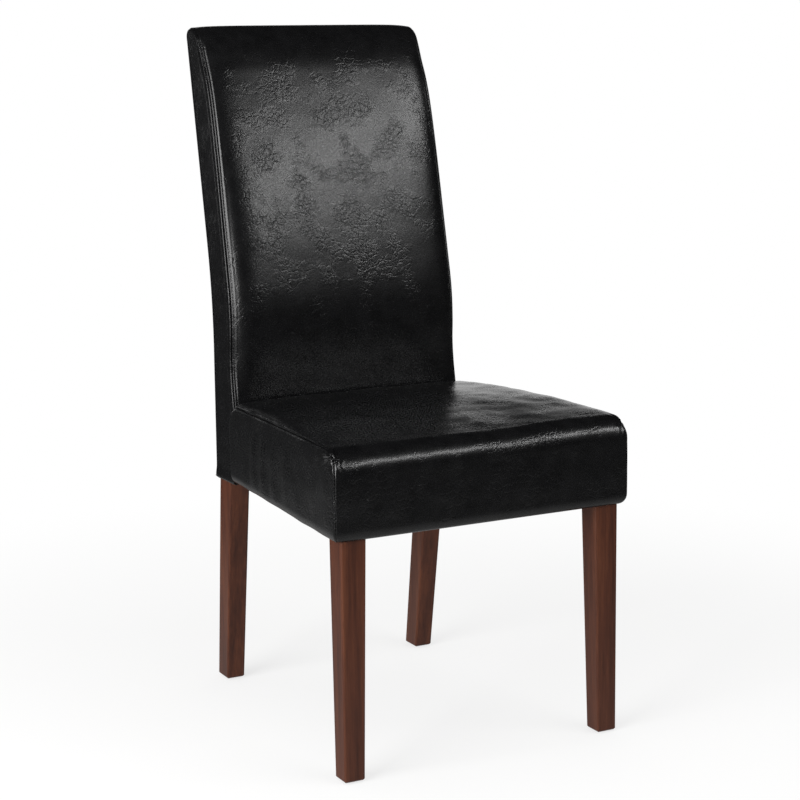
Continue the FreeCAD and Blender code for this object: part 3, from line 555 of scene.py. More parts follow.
def backEdge(along):
    # how far the seam lies behind the middle profile, and in from the strip's face, at a place on the path
    z = pointAt(backPath, backLengths, along)[1]
    front = back["seamDepthFoot"]
    front += (back["seamDepthFront"] - front) * easedShare(z, back["footFrom"], back["footTo"])
    front -= 0.5 * back["upperCrown"] * easedShare(z, back["upperCrownFrom"], backTop - back["upperSeamTo"])
    toTop = easedShare(along, topStart - back["topEaseBefore"], topStart + back["topEaseAfter"])
    toRear = easedShare(along, rearStart - back["rearEase"], rearStart + back["rearEase"])
    depth = front + (back["seamDepthTop"] - front) * toTop
    depth += (back["seamDepthRear"] - depth) * toRear
    depth += back["seamCut"] * hump(along - topStart, back["seamCutReach"])
    seamIn = back["seamInFront"] + (back["seamInTop"] - back["seamInFront"]) * toTop
    return depth, seamIn + (back["seamInRear"] - seamIn) * toRear


def seamDrop(side):
    # the section across the back, 0 in the middle and 1 at the seams
    edge, swell = abs(side) ** back["edgePower"], abs(side) ** back["swellPower"]
    return back["edgeShare"] * edge + (1.0 - back["edgeShare"]) * swell


def pathNormal(along):
    # the way out of the back at a place on its middle profile, as (y, z)
    ahead = pointAt(backPath, backLengths, min(along + 1.5, backLengths[-1]))
    behind = pointAt(backPath, backLengths, max(along - 1.5, 0.0))
    dy, dz = ahead[0] - behind[0], ahead[1] - behind[1]
    size = math.hypot(dy, dz)
    return (1.0, 0.0) if along > hemStart else (-dz / size, dy / size)


def backPoint(side, along):
    # side goes from -1 at the left seam to 1 at the right one
    y, z = pointAt(backPath, backLengths, along)
    outY, outZ = pathNormal(along)
    depth, seamIn = backEdge(along)
    drop = depth * seamDrop(side)
    return Vector((side * (backHalfWidth(z) - seamIn), y - drop * outY, z - drop * outZ))


def stationsAcross(halfWidth, depth, fine, coarse):
    # shares of the half width, spaced by the length along the curved section
    section = [(halfWidth * i / 400.0, depth * seamDrop(i / 400.0)) for i in range(401)]
    lengths = lengthsAlong(section)
    stations = []
    for step in gradedSteps(2.0 * lengths[-1], fine, fine, coarse):
        fromMiddle = step - lengths[-1]
        share = pointAt(section, lengths, abs(fromMiddle))[0] / halfWidth
        stations.append(math.copysign(min(share, 1.0), fromMiddle))
    return stations


def evenSteps(start, end, step):
    count = max(1, round((end - start) / step))
    return [start + (end - start) * i / count for i in range(count + 1)]


seamSteps = evenSteps(0.0, backLengths[-1], back["seamStep"])
frenchShares = [1.0 - easedShare(along, topstitchEnd - back["topstitchFade"],
                                 topstitchEnd + back["topstitchGone"]) for along in seamSteps]


def backSeam(side):
    points, inward = [], []
    for along in seamSteps:
        outY, outZ = pathNormal(along)
        points.append(backPoint(side, along))
        inward.append(Vector((-side, -outY, -outZ)).normalized())
    return seamLine(points, inward)


# humps beside a seam: how far from it, the height and the width
# topstitched: a groove, the folded allowance, the dip of the stitch row, the leather beyond
frenchProfile = ((0.0, -1.3, 1.1), (2.6, 0.5, 1.7), (back["topstitch"], -0.4, 0.9), (8.0, 0.35, 2.1))
# plain: a groove with a slight roll of leather beside it
plainProfile = ((0.0, -1.3, 1.3), (3.4, 0.4, 2.6))


def seamRelief(profile, distance):
    return sum(height * hump(distance - at, width) for at, height, width in profile)


def backRelief(distance, index):
    share = frenchShares[index]
    return seamRelief(frenchProfile, distance) * share + seamRelief(plainProfile, distance) * (1.0 - share)


def seatRelief(distance, index):
    return seamRelief(plainProfile, distance)


backSeams = {side: backSeam(side) for side in (-1, 1)}
backCentre = Vector((0.0, backRearY - 30.0, 700.0))


def backCoverPanel():
    half = backHalfWidth(back["spacedAt"]) - back["seamInFront"]
    columns = stationsAcross(half, back["seamDepthFront"], back["fine"], back["coarse"])
    rows = evenSteps(0.0, hemStart, back["rowStep"])
    rows += evenSteps(hemStart, backLengths[-1], back["hemStep"])[1:]
    bm = gridPanel(columns, rows, backPoint)
    faceOutwards(bm, backCentre)
    for side in (-1, 1):
        sewAlong(bm, backSeams[side], backRelief, back["sewReach"])
    return coverPiece("back_panel_leather", bm, 0.85, "back_cover_panel", "back_foam", "back_rear_wadding")


backPanel = backCoverPanel()
print("back panel made")


def blendedPatch(top, bottom, front, rear, a, b):
    # a point inside four edge curves, each a function of its own share; a runs front to rear, b from top
    corners = (top(0.0), top(1.0), bottom(0.0), bottom(1.0))
    point = []
    for i in range(2):
        ruled = (1.0 - b) * top(a)[i] + b * bottom(a)[i] + (1.0 - a) * front(b)[i] + a * rear(b)[i]
        shared = ((1.0 - a) * (1.0 - b) * corners[0][i] + a * (1.0 - b) * corners[1][i]
                  + (1.0 - a) * b * corners[2][i] + a * b * corners[3][i])
        point.append(ruled - shared)
    return tuple(point)


def edgeCurve(points):
    lengths = lengthsAlong(points)
    return lambda share: pointAt(points, lengths, min(max(share, 0.0), 1.0) * lengths[-1]), lengths[-1]


# Side strips of the back

strip = {"hemFlare": 1.4, "hemFlareHeight": 9.0, "turn": 3.0, "under": 5.0, "coarse": 5.5, "rowStep": 5.0,
         "hemFine": 1.4, "edgeReach": 7.5, "frontCorner": 34.0, "rearCorner": 30.0}


def backStrip(side, word):
    seamSide = [(p.y, p.z) for p in backSeams[side]["points"]]
    cornerFront = next(i for i, p in enumerate(seamSide) if p[1] > backTop - strip["frontCorner"])
    cornerRear = next(i for i in range(cornerFront + 40, len(seamSide))
                      if seamSide[i][1] < backTop - strip["rearCorner"])
    foot = next(i for i in range(cornerRear, len(seamSide)) if seamSide[i][1] < back["hem"] + 1.0)
    hemZ = back["hem"] + strip["turn"]
    seamIns = [backEdge(along)[1] for along in seamSteps]
    flatTree = nearestTree([(0.0, y, z) for y, z in seamSide])
    front, frontLength = edgeCurve(seamSide[:cornerFront + 1][::-1] + [(seamSide[0][0], hemZ)])
    rear = edgeCurve(seamSide[cornerRear:foot] + [(seamSide[foot][0], hemZ)])[0]
    top = edgeCurve(seamSide[cornerFront:cornerRear + 1])[0]
    bottom, bottomLength = edgeCurve([front(1.0), rear(1.0)])
    fine = back["fine"]
    columns = [step / bottomLength for step in gradedSteps(bottomLength, fine, fine, strip["coarse"])]
    walls = [("wall", step / frontLength)
             for step in gradedSteps(frontLength, fine, strip["hemFine"], strip["rowStep"])]
    turns = [("turn", math.pi / 2.0 * i / 4.0) for i in range(1, 5)]
    unders = [("under", strip["under"] * i / 3.0) for i in range(1, 4)]

    def place(a, row):
        kind, value = row
        b = value if kind == "wall" else 1.0
        y, z = blendedPatch(top, bottom, front, rear, a, b)
        index, distance = flatTree.find(Vector((0.0, y, z)))[1:]
        half = backHalfWidth(z) + strip["hemFlare"] * hump(z - hemZ - 2.0, strip["hemFlareHeight"])
        half -= roundOff(distance, strip["edgeReach"] * seamIns[index] / back["seamInFront"], seamIns[index])
        if kind == "turn":
            half -= strip["turn"] * (1.0 - math.cos(value))
            z -= strip["turn"] * math.sin(value)
        if kind == "under":
            half -= strip["turn"] + value
            z -= strip["turn"]
        return Vector((side * half, y, z))

    bm = gridPanel(columns, walls + turns + unders, place)
    faceOutwards(bm, backCentre)
    sewAlong(bm, backSeams[side], backRelief, back["sewReach"])
    coverPiece("back_strip_leather_" + word, bm, 0.7, "back_cover_side_" + word, "back_side_wadding_" + word)


for side, word in sides:
    backStrip(side, word)
print("back strips made")


# The seat

seat = {
    "seamHeight": 463.5, "crown": 11.5, "frontEdge": 465.0, "frontCrown": 1.5, "frontRoll": 33.0,
    "puffed": 3.0, "puffedTop": 2.0,             # the right half of the foam stands this much higher
    "squareness": 12,                            # how suddenly the crown falls off beside the seams
    "rearRollSide": 40.0, "rearRollMiddle": 14.0, "rearCrown": 6.0, "rearLower": 3.5, "deck": 409.6,
    "frontSide": 1.0, "frontMiddle": -1.5,       # front face beside the seams and in the middle
    "turnDepth": 9.0, "turnHeight": 14.0, "under": 7.0, "sideUnder": 10.0, "cornerReach": 30.0,
    "shoulder": 2.0, "shoulderReach": 34.0, "edge": 1.2, "edgeReach": 9.0, "bulge": 2.2,
    "wrap": 1.6, "wrapReachTop": 48.0, "wrapReachFoot": 28.0, "frontEdgeIn": 1.4,
    "rearRound": 3.5, "rearReach": 12.0,
    "flap": 10.0,                                # turned in behind, between the seat and the back
    "sewReach": 12.0,
    "fine": 1.0, "coarse": 7.0, "sideFine": 1.4, "footFine": 2.2, "sideCoarse": 5.0,
    "uneven": ((60.0, 1.5, 1.0), (24.0, 0.5, 2.0)),    # mm across, height and seed of the foam's dents
    "rowCounts": {"under": 4, "turn": 7, "front": 24, "roll": 14, "top": 78, "rearRoll": 12, "rear": 8},
}
seatTurnZ = seatBottom + seat["turnHeight"]


def seatSection(across, density=1):
    # rows (y, z, turned in, run under) of the seat from under its front edge, over the top and down the rear
    share = math.sqrt(1.0 - abs(across) ** seat["squareness"])
    puff = easedShare(across, 0.2, 0.6) * share
    counts = {key: count * density for key, count in seat["rowCounts"].items()}
    front = seatFrontY + seat["frontSide"] + (seat["frontMiddle"] - seat["frontSide"]) * share
    rear = seatRearY - layerGap - seat["rearCrown"] * share
    frontTop = seat["frontEdge"] + seat["frontCrown"] * share + seat["puffed"] * puff
    middleTop = seat["seamHeight"] + seat["crown"] * share + seat["puffedTop"] * puff
    rearTop = seat["seamHeight"] - seat["rearLower"] + seat["crown"] * share / 2.0
    rearRoll = seat["rearRollSide"] + (seat["rearRollMiddle"] - seat["rearRollSide"]) * share
    rows = []
    for i in range(counts["under"], 0, -1):
        run = seat["under"] * i / counts["under"]
        rows.append((front + seat["turnDepth"] + run, seatBottom, seat["turnDepth"], run))
    for i in range(counts["turn"], 0, -1):
        angle = math.pi / 2.0 * i / counts["turn"]
        turned = seat["turnDepth"] * (1.0 - math.cos(angle))
        rows.append((front + turned, seatTurnZ - seat["turnHeight"] * math.sin(angle), turned, 0.0))
    frontCentre = (front + seat["frontRoll"], frontTop - seat["frontRoll"])
    rearCentre = (rear - rearRoll, rearTop - rearRoll)
    roll = arcPoints(frontCentre, seat["frontRoll"], math.pi, math.pi / 2.0, counts["roll"])
    rearArc = arcPoints(rearCentre, rearRoll, math.pi / 2.0, 0.0, counts["rearRoll"])
    points = joined(linePoints((front, seatTurnZ), roll[0], counts["front"]), roll,
                    bowPoints(roll[-1], middleTop, rearArc[0], counts["top"]), rearArc,
                    linePoints(rearArc[-1], (rear, seat["deck"]), counts["rear"]))
    return rows + [(y, z, 0.0, 0.0) for y, z in points]


def seatSideInset(fromTop, fromFront, down):
    reach = seat["wrapReachTop"] + (seat["wrapReachFoot"] - seat["wrapReachTop"]) * down
    return (roundOff(fromTop, seat["shoulderReach"], seat["shoulder"])
            + roundOff(fromTop, seat["edgeReach"], seat["edge"])
            + roundOff(fromFront, reach, seat["wrap"])
            + roundOff(fromFront, seat["edgeReach"], seat["frontEdgeIn"]) - seat["bulge"])


def seatSeamRows(density):
    # rows of the seam between the top and a side panel, with the half width there
    rows = seatSection(1.0, density)
    lengths = lengthsAlong([(row[0], row[1]) for row in rows])
    counts = seat["rowCounts"]
    corner = (counts["under"] + counts["turn"] + counts["front"] + counts["roll"] // 2) * density
    wall = (counts["under"] + counts["turn"]) * density
    drop = lengths[corner] - lengths[wall]
    seam = []
    for index, (y, z, turned, run) in enumerate(rows):
        fromCorner = abs(lengths[index] - lengths[corner])
        if index <= corner:
            down = min(1.0, fromCorner / drop)
            inset = seatSideInset(down * drop, 0.0, down)
        else:
            inset = seatSideInset(0.0, fromCorner, 0.0)
        seam.append((seatHalfWidth(y) - inset - turned - run, y, z))
    return seam, corner, wall


seatSeamSparse = seatSeamRows(1)[0]
seatSeamDense, seatCornerIndex, seatWallIndex = seatSeamRows(6)
seatCentre = Vector((0.0, -80.0, 395.0))


def seatSeam(side):
    points, inward = [], []
    rollZ = seat["frontEdge"] - seat["frontRoll"]
    rollY = seatFrontY + seat["frontRoll"] + seat["frontSide"]
    topZ = seat["seamHeight"] - 4.0
    for half, y, z in seatSeamDense:
        way = Vector((-side, 0.0, 0.0))
        way.y = 1.0 if z < rollZ and y < 0.0 else 0.0
        way.z = -1.0 if z > topZ else 0.0
        if y < rollY and z >= rollZ:
            rise = (z - rollZ) / seat["frontRoll"]
            way.y, way.z = math.sqrt(max(0.0, 1.0 - rise * rise)), -rise
        points.append(Vector((side * half, y, z)))
        inward.append(way.normalized())
    return seamLine(points, inward)


seatSeams = {side: seatSeam(side) for side in (-1, 1)}
frontCorner = {side: Vector((side * seatSeamDense[seatCornerIndex][0],) + seatSeamDense[seatCornerIndex][1:])
               for side in (-1, 1)}

gathers = {"folds": 15, "heights": {-1: 1.0, 1: 0.45}, "peak": 9.0, "outer": 32.0}


def gatherCorner(bm, side):
    # small folds that run out from the sewn corner like rays
    centre = frontCorner[side]
    axis = Vector((side, -1.0, 1.0)).normalized()
    paintedGlowLevel = axis.cross(Vector((0.0, 0.0, 1.0))).normalized()
    upright = paintedGlowLevel.cross(axis)
    picks = random.Random(5 + side)
    phases = [picks.uniform(-0.6, 0.6) for _ in range(gathers["folds"] + 1)]
    moves = {}
    for vert in bm.verts:
        offset = vert.co - centre
        radius = offset.length
        if radius > gathers["outer"]:
            continue
        angle = math.atan2(offset.dot(upright), offset.dot(paintedGlowLevel))
        part = (angle / (2.0 * math.pi) + 0.5) * gathers["folds"]
        wobble = phases[int(part) % gathers["folds"]]
        share = easedShare(radius, 0.0, gathers["peak"])
        share *= 1.0 - easedShare(radius, gathers["peak"], gathers["outer"])
        height = gathers["heights"][side] * (1.0 + wobble) * share
        moves[vert] = vert.normal * height * math.cos(gathers["folds"] * angle)
    for vert, move in moves.items():
        vert.co += move
    bm.normal_update()


def unevenness(point, size, height, seed):
    # a dent or rise of the foam at a point
    return height * noise.noise(point / size + Vector((seed, seed * 0.7, 3.1)))


def seatTopPanel():
    steps = gradedSteps(2.0 * seatHalfFront, seat["fine"], seat["fine"], seat["coarse"])
    columns = [step / seatHalfFront - 1.0 for step in steps]
    sections = {}

    def place(across, row):
        if across not in sections:
            sections[across] = seatSection(across)
        y, z = sections[across][row][:2]
        return Vector((across * seatSeamSparse[row][0], y, z))

    bm = gridPanel(columns, list(range(len(seatSeamSparse))), place)
    faceOutwards(bm, seatCentre)
    for vert in bm.verts:
        fade = easedShare(vert.co.z, seatTurnZ, seatTurnZ + 40.0)
        vert.co += vert.normal * fade * sum(unevenness(vert.co, *dent) for dent in seat["uneven"])
    bm.normal_update()
    for side in (-1, 1):
        gatherCorner(bm, side)
        sewAlong(bm, seatSeams[side], seatRelief, seat["sewReach"])
    return coverPiece("seat_top_leather", bm, 0.8, "seat_cover_top", "seat_foam", "seat_front_padding")


seatTop = seatTopPanel()

sidePuckers = {
    # upright folds in the side panels, each with its y, its width and its height
    "folds": ((22.0, 9.0, 1.9), (-18.0, 8.0, 2.6), (-62.0, 10.0, 2.3), (-112.0, 12.0, 1.6)),
    "lean": 0.10, "middle": 400.0,               # how the folds lean with height
    "fadeIn": (344.0, 376.0), "fadeOut": (412.0, 444.0),
    "uneven": (45.0, 0.8), "seed": 4.0,
}


def seatSidePanel(side, word):
    line = [(y, z) for half, y, z in seatSeamDense]
    rollEnd = len(line) - 1 - (seat["rowCounts"]["rear"] + seat["rowCounts"]["rearRoll"] // 2) * 6
    front, frontLength = edgeCurve(line[seatWallIndex:seatCornerIndex + 1][::-1])
    top, topLength = edgeCurve(line[seatCornerIndex:rollEnd + 1])
    rear = edgeCurve(line[rollEnd:] + [(line[-1][0], seatTurnZ)])[0]
    bottom = edgeCurve([front(1.0), rear(1.0)])[0]
    columns = [("run", step / topLength)
               for step in gradedSteps(topLength, seat["fine"], seat["sideFine"], seat["coarse"])]
    columns += [("flap", seat["flap"] * i / 4.0) for i in range(1, 5)]
    walls = [("wall", step / frontLength)
             for step in gradedSteps(frontLength, seat["fine"], seat["footFine"], seat["sideCoarse"])]
    turns = [("turn", math.pi / 2.0 * i / 8.0) for i in range(1, 9)]
    unders = [("under", seat["sideUnder"] * i / 4.0) for i in range(1, 5)]

    def place(column, row):
        a = column[1] if column[0] == "run" else 1.0
        b = row[1] if row[0] == "wall" else 1.0
        y, z = blendedPatch(top, bottom, front, rear, a, b)
        turned = seat["turnDepth"] * (1.0 - math.cos(row[1])) if row[0] == "turn" else 0.0
        run = row[1] if row[0] == "under" else 0.0
        if row[0] == "turn":
            z -= seat["turnHeight"] * math.sin(row[1])
        if row[0] == "under":
            turned = seat["turnDepth"]
            z -= seat["turnHeight"]
        inset = seatSideInset(b * frontLength, a * topLength, b)
        inset += roundOff((1.0 - a) * topLength, seat["rearReach"], seat["rearRound"])
        half = seatHalfWidth(y) - inset - turned - run
        y += (turned + run) * roundOff(a * topLength, seat["cornerReach"], 1.0)
        if column[0] == "flap":
            half -= column[1]
        return Vector((side * half, y, z))

    bm = gridPanel(columns, walls + turns + unders, place)
    faceOutwards(bm, seatCentre)
    for vert in bm.verts:
        y, z = vert.co.y, vert.co.z
        lean = sidePuckers["lean"] * (z - sidePuckers["middle"])
        lift = sum(height * hump(y - at + lean, width) for at, width, height in sidePuckers["folds"])
        window = easedShare(z, *sidePuckers["fadeIn"]) * (1.0 - easedShare(z, *sidePuckers["fadeOut"]))
        if abs(vert.normal.x) > 0.5:
            dent = unevenness(vert.co, *sidePuckers["uneven"], sidePuckers["seed"] + side)
            vert.co += vert.normal * (lift * window + dent)
    bm.normal_update()
    gatherCorner(bm, side)
    sewAlong(bm, seatSeams[side], seatRelief, seat["sewReach"])
    coverPiece("seat_side_leather_" + word, bm, 0.75, "seat_cover_side_" + word, "seat_side_padding_" + word)


for side, word in sides:
    seatSidePanel(side, word)
print("seat made")


# Stitches

stitch = {"length": 3.4, "thread": 0.9, "pitch": 5.2, "lift": -0.15, "from": 60.0, "seatFrom": 2.0,
          "leastShare": 0.3}        # the rows end where less than this of the topstitched seam is left


def nearestPlaces(pieces, places):
    # each place brought onto the leather nearest to it, with the leather's own normal
    found = []
    for place, along in places:
        best = None
        for piece in pieces:
            hit, point, normal = piece.closest_point_on_mesh(place * mm)[:3]
            if hit and (best is None or (point - place * mm).length < best[0]):
                best = ((point - place * mm).length, point / mm, normal)
        found.append((best[1], (along - best[2] * along.dot(best[2])).normalized(), best[2]))
    return found


def seamWalk(points, start, margin):
    # places one pitch apart along a seam: how far they are, where, and which way the seam runs there
    lengths = lengthsAlong(points)
    walk, at = [], start
    while at < lengths[-1] - margin:
        here = Vector(pointAt(points, lengths, at))
        walk.append((at, here, (Vector(pointAt(points, lengths, at + 1.0)) - here).normalized()))
        at += stitch["pitch"]
    return walk


def topstitchPlaces(side, towardsRear):
    # a row of stitches beside the seam: on the strip behind it, or on the front panel ahead of it
    points = backSeams[side]["points"]
    lengths = lengthsAlong(points)
    shares = [(share,) for share in frenchShares]
    places = []
    for at, here, along in seamWalk(points, stitch["from"], 0.0):
        if pointAt(shares, lengths, at)[0] < stitch["leastShare"]:
            break
        rearwards = Vector((0.0, along.z, -along.y))
        inwards = Vector((-side, -0.9 * along.z, 0.9 * along.y)).normalized()
        places.append((here + back["topstitch"] * (rearwards if towardsRear else inwards), along))
    return places


def seatStitchPlaces(side):
    points = seatSeams[side]["points"][seatWallIndex:seatCornerIndex]
    return [(here, along) for at, here, along in seamWalk(points, stitch["seatFrom"], stitch["seatFrom"])]


def stitchesOn(name, pieces, rows):
    bm = bmesh.new()
    for places in rows:
        stitchRow(bm, nearestPlaces(pieces, places))
    return finishPiece(name, bm, thread)


bpy.context.view_layer.update()
for side, word in sides:
    backPieces = [backPanel, bpy.data.objects["back_strip_leather_" + word]]
    seatPieces = [seatTop, bpy.data.objects["seat_side_leather_" + word]]
    stitchesOn("back_topstitching_" + word, backPieces,
               [topstitchPlaces(side, True), topstitchPlaces(side, False)])
    stitchesOn("seat_corner_stitching_" + word, seatPieces, [seatStitchPlaces(side)])
print("stitches made")


# Under the seat

dustSheet = {"sag": 1.6, "step": 8.0, "thickness": 0.5, "stapledEdge": 30.0,
             "halfLength": 190.0, "dentSize": 40.0}
sheetLow, sheetHigh = nodeBox("dust_cover")
frontHalf = sheetHigh.x


def dustCover():
    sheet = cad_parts["dust_cover"]
    corners = [v.co / mm for v in sheet.data.vertices]
    rearHalf = max(p.x for p in corners if p.y > sheetHigh.y - 60.0)
    legInner = min(p.x for p in corners if p.x > 0.0 and p.y < sheetLow.y + 1.0)
    legRear = min(p.y for p in corners if p.x > legInner + 5.0)
    postInner = max(p.x for p in corners if p.y > sheetHigh.y - 1.0)
    postFront = max(p.y for p in corners if p.x > postInner + 5.0)
    columns = evenSteps(-1.0, 1.0, dustSheet["step"] / frontHalf)
    rows = evenSteps(sheetLow.y, sheetHigh.y, dustSheet["step"])

    def place(across, y):
        share = (y - sheetLow.y) / (sheetHigh.y - sheetLow.y)
        half = frontHalf + (rearHalf - frontHalf) * share
        return Vector((across * half, y, sheetLow.z))

    bm = gridPanel(columns, rows, place)
    cuts = [((x, 0, 0), (1, 0, 0)) for x in (legInner, -legInner, postInner, -postInner)]
    cuts += [((0, y, 0), (0, 1, 0)) for y in (legRear, postFront)]
    for spot, way in cuts:
        geometry = bm.verts[:] + bm.edges[:] + bm.faces[:]
        bmesh.ops.bisect_plane(bm, geom=geometry, plane_co=spot, plane_no=way, dist=0.01)
    notched = []
    for face in bm.faces:
        centre = face.calc_center_median()
        atLeg = abs(centre.x) > legInner and centre.y < legRear
        atPost = abs(centre.x) > postInner and centre.y > postFront
        if atLeg or atPost:
            notched.append(face)
    bmesh.ops.delete(bm, geom=notched, context="FACES")
    bmesh.ops.remove_doubles(bm, verts=bm.verts, dist=0.01)
    cutArea = sum(face.calc_area() for face in bm.faces) * mm * mm
    middle = (sheetLow.y + sheetHigh.y) / 2.0
    for vert in bm.verts:
        acrossShare = min(1.0, abs(vert.co.x) / (frontHalf - dustSheet["stapledEdge"]))
        alongShare = min(1.0, abs(vert.co.y - middle) / dustSheet["halfLength"])
        sag = (1.0 - acrossShare ** 2) * (1.0 - alongShare ** 2)
        vert.co.z -= dustSheet["sag"] * sag * (1.0 + 0.5 * noise.noise(vert.co / dustSheet["dentSize"]))
    bm.normal_update()
    if sum(face.normal.z for face in bm.faces) > 0.0:
        bmesh.ops.reverse_faces(bm, faces=bm.faces)
    piece = finishPiece("dust_cover_cloth", bm, dustCloth, dustSheet["thickness"])
    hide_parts("dust_cover")
    return piece


dustCover()


# Webbing

strapLook = {"step": 6.0, "thickness": 1.3}


def strapPanel(bm, uvLayer, columns, rows, place):
    # a strap along its rows; columns are shares across it
    spots = placedGrid(bm, columns, rows, place)
    for face in {face for vert in spots for face in vert.link_faces}:
        for loop in face.loops:
            share, run = spots[loop.vert]
            loop[uvLayer].uv = (run, share)


def looseIslands(mesh):
    # boxes (low, high) of the separate solids in a node's mesh, in mm
    bm = bmesh.new()
    bm.from_mesh(mesh)
    bmesh.ops.remove_doubles(bm, verts=bm.verts, dist=0.00001)
    waiting, boxes = set(bm.verts), []
    while waiting:
        front = [waiting.pop()]
        island = list(front)
        while front:
            vert = front.pop()
            for edge in vert.link_edges:
                other = edge.other_vert(vert)
                if other in waiting:
                    waiting.remove(other)
                    front.append(other)
                    island.append(other)
        points = [v.co / mm for v in island]
        boxes.append((Vector([min(p[i] for p in points) for i in range(3)]),
                      Vector([max(p[i] for p in points) for i in range(3)])))
    bm.free()
    return boxes


def strapsFrom(name, nodeName, alongX):
    # flat straps on the upper faces of the seat's solids, or along the slope of the back's
    bm = bmesh.new()
    uvLayer = bm.loops.layers.uv.new("strap")
    shares = [i / 8.0 for i in range(9)]
    standing = nodeName == "back_webbing"
    for low, high in looseIslands(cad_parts[nodeName].data):
        axis = 0 if alongX else 1

        def place(share, run):
            point = low + (high - low) * share
            point[axis] = run
            if not standing:
                point.z = high.z
            return point

        strapPanel(bm, uvLayer, shares, evenSteps(low[axis], high[axis], strapLook["step"]), place)
    bm.normal_update()
    wanted = Vector((0, -1, 0)) if standing else Vector((0, 0, 1))
    bmesh.ops.reverse_faces(bm, faces=[face for face in bm.faces if face.normal.dot(wanted) < 0.0])
    piece = finishPiece(name, bm, webbing, strapLook["thickness"])
    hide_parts(nodeName)


strapsFrom("seat_straps_lengthwise", "seat_webbing_lengthwise", False)
strapsFrom("seat_straps_crosswise", "seat_webbing_crosswise", True)
strapsFrom("back_straps", "back_webbing", True)
print("underside made")


# Floor, light and camera

stage = {
    "floorRadius": 6.0, "floor": "#f7f7f6", "whiteFrom": 0.5, "whiteTo": 1.5, "whiteNear": 0.72,
    # in reflections the floor shows a painted glow instead of its lit colour: bright near the chair, dim far
    # out
    "glossNear": 0.44, "glossFar": 0.04, "glossFrom": 0.35, "glossTo": 1.9,
    "ambient": 0.42, "room": 0.012,
    "glow": 1.2, "glowWay": Vector((0.5, 0.86, 0.0)),    # a pale wall behind on the right, in gloss only
    "glowFrom": 0.68, "glowTo": 0.95, "glowLow": 0.12, "glowHigh": 0.3,
}
rightTilt = math.radians(7.0)                # the right softbox hangs askew, higher at its right end
softboxes = {
    # where it stands and points, its width and height, its radiance, its tilt, whether it shows in gloss
    "right_softbox": (
        Vector((1.47, -2.18, 2.05)), Vector((0.0, 0.1, 0.8)), (2.2, 0.15), 17.0, rightTilt, True),
    "right_softbox_edge": (
        Vector((1.49, -2.22, 2.05)), Vector((0.0, 0.1, 0.8)), (2.3, 0.4), 2.2, rightTilt, True),
    "left_softbox": (Vector((-2.91, -0.95, 1.45)), Vector((0.0, 0.0, 0.8)), (2.2, 2.2), 8.0, 0.0, True),
    "overhead_fill": (Vector((0.0, -0.3, 3.2)), Vector((0.0, 0.0, 0.0)), (3.0, 3.0), 0.8, 0.0, False),
}


def stageFloor():
    bm = bmesh.new()
    bmesh.ops.create_circle(bm, cap_ends=True, segments=96, radius=stage["floorRadius"])
    mesh = bpy.data.meshes.new("studio_floor")
    bmesh.ops.translate(bm, vec=(0, 0, -0.0002), verts=bm.verts)
    bm.to_mesh(mesh)
    bm.free()
    floor = bpy.data.objects.new("studio_floor", mesh)
    bpy.context.scene.collection.objects.link(floor)
    # matt painted floor, pale; far out it becomes the plain white surround
    material, tree, shader = newMaterial("floor_matt_paint_pale", {
        "Roughness": 0.8, "Base Color": linearColour(stage["floor"])})
    place = addNode(tree, "TexCoord").outputs["Object"]
    reach = addNode(tree, "VectorMath", {"operation": "LENGTH"}, {0: place}).outputs["Value"]
    far = addNode(tree, "MapRange", smoothStep,
                  {0: reach, 1: stage["whiteFrom"], 2: stage["whiteTo"], 3: stage["whiteNear"],
                   4: 1.0}).outputs[0]
    # painted glow of the floor, seen only in reflections: bright near the chair and fading far out
    paintedGlowLevel = addNode(tree, "MapRange", smoothStep,
                    {0: reach, 1: stage["glossFrom"], 2: stage["glossTo"], 3: stage["glossNear"],
                     4: stage["glossFar"]}).outputs[0]
    path = addNode(tree, "LightPath")
    white = addNode(tree, "Emission", links={"Strength": 1.0})
    paintedFloorGlow = addNode(tree, "Emission", links={"Strength": paintedGlowLevel})
    forCamera = addNode(tree, "MixShader", links={0: far, 1: shader.outputs[0], 2: white.outputs[0]})
    inGloss = addNode(tree, "MixShader", links={0: path.outputs["Is Glossy Ray"], 1: shader.outputs[0],
                                               2: paintedFloorGlow.outputs[0]})
    seen = addNode(tree, "MixShader", links={0: path.outputs["Is Camera Ray"], 1: inGloss.outputs[0],
                                            2: forCamera.outputs[0]})
    tree.links.new(seen.outputs[0], tree.nodes["Material Output"].inputs["Surface"])
    mesh.materials.append(material)


def softbox(name, spot, aim, size, radiance, tilt, inGloss):
    data = bpy.data.lights.new(name, "AREA")
    data.shape = "RECTANGLE"
    data.size, data.size_y = size
    data.energy = radiance * math.pi * size[0] * size[1]
    lamp = bpy.data.objects.new(name, data)
    lamp.location = spot
    lamp.rotation_euler = (aim - spot).to_track_quat("-Z", "Y").to_euler()
    lamp.rotation_euler.rotate_axis("Z", tilt)
    lamp.visible_glossy = inGloss
    bpy.context.scene.collection.objects.link(lamp)


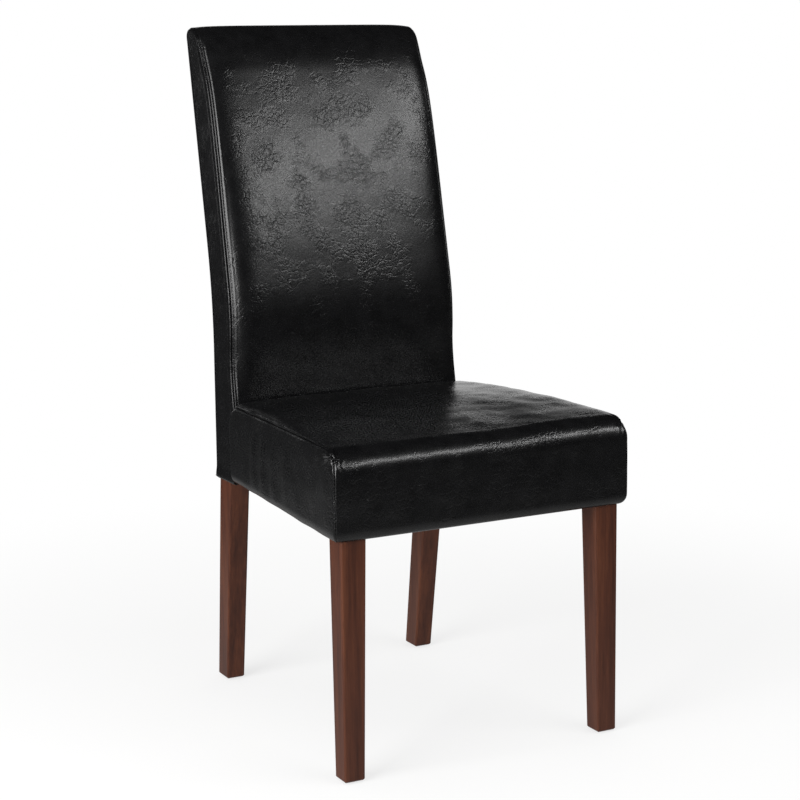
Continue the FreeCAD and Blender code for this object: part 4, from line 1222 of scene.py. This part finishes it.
def studioWorld():
    world = bpy.data.worlds.new("studio")
    bpy.context.scene.world = world
    world.use_nodes = True
    tree = world.node_tree
    sky = tree.nodes["Background"]
    path = addNode(tree, "LightPath")
    way = addNode(tree, "TexCoord").outputs["Generated"]
    split = addNode(tree, "SeparateXYZ", links={0: way})
    towards = addNode(tree, "VectorMath", {"operation": "DOT_PRODUCT"},
                      {0: way, 1: stage["glowWay"]}).outputs["Value"]
    behind = addNode(tree, "MapRange", smoothStep,
                     {0: towards, 1: stage["glowFrom"], 2: stage["glowTo"], 3: 0.0,
                      4: stage["glow"]}).outputs[0]
    low = addNode(tree, "MapRange", smoothStep,
                  {0: split.outputs["Z"], 1: stage["glowLow"], 2: stage["glowHigh"], 3: 1.0,
                   4: 0.0}).outputs[0]
    gloss = addNode(tree, "Math", {"operation": "MULTIPLY_ADD"},
                    {0: behind, 1: low, 2: stage["room"]}).outputs[0]
    clear = addNode(tree, "Math", {"operation": "MAXIMUM"},
                    {0: path.outputs["Is Camera Ray"], 1: path.outputs["Is Transmission Ray"]}).outputs[0]
    lit = addNode(tree, "Mix", {"data_type": "FLOAT"},
                  {0: path.outputs["Is Glossy Ray"], 2: stage["ambient"], 3: gloss}).outputs[0]
    seen = addNode(tree, "Mix", {"data_type": "FLOAT"}, {0: clear, 2: lit, 3: 1.0}).outputs[0]
    tree.links.new(seen, sky.inputs["Strength"])
    sky.inputs["Color"].default_value = (1.0, 1.0, 1.0, 1.0)


view = {"azimuth": -27.6, "elevation": 10.3, "roll": -0.7, "distance": 2.8584,
        "target": Vector((-0.0301, -0.0975, 0.4861)), "pixels": 800, "focalPixels": 1977.0, "sensor": 36.0}


def photoCamera():
    azimuth, elevation, roll = (math.radians(view[key]) for key in ("azimuth", "elevation", "roll"))
    away = Vector((math.sin(azimuth) * math.cos(elevation), -math.cos(azimuth) * math.cos(elevation),
                   math.sin(elevation)))
    right = (-away).cross(Vector((0.0, 0.0, 1.0))).normalized()
    up = right.cross(-away)
    tilted = right * math.cos(roll) + up * math.sin(roll)
    upright = up * math.cos(roll) - right * math.sin(roll)
    camera = bpy.data.objects.new("camera", bpy.data.cameras.new("camera"))
    camera.data.sensor_width = view["sensor"]
    camera.data.lens = view["focalPixels"] * view["sensor"] / view["pixels"]
    turn = Matrix((tilted, upright, away)).transposed().to_4x4()
    camera.matrix_world = Matrix.Translation(view["target"] + away * view["distance"]) @ turn
    bpy.context.scene.collection.objects.link(camera)
    bpy.context.scene.camera = camera


stageFloor()
for name, settings in softboxes.items():
    softbox(name, *settings)
studioWorld()
photoCamera()
bpy.context.scene.view_settings.view_transform = "Standard"
print("stage set")
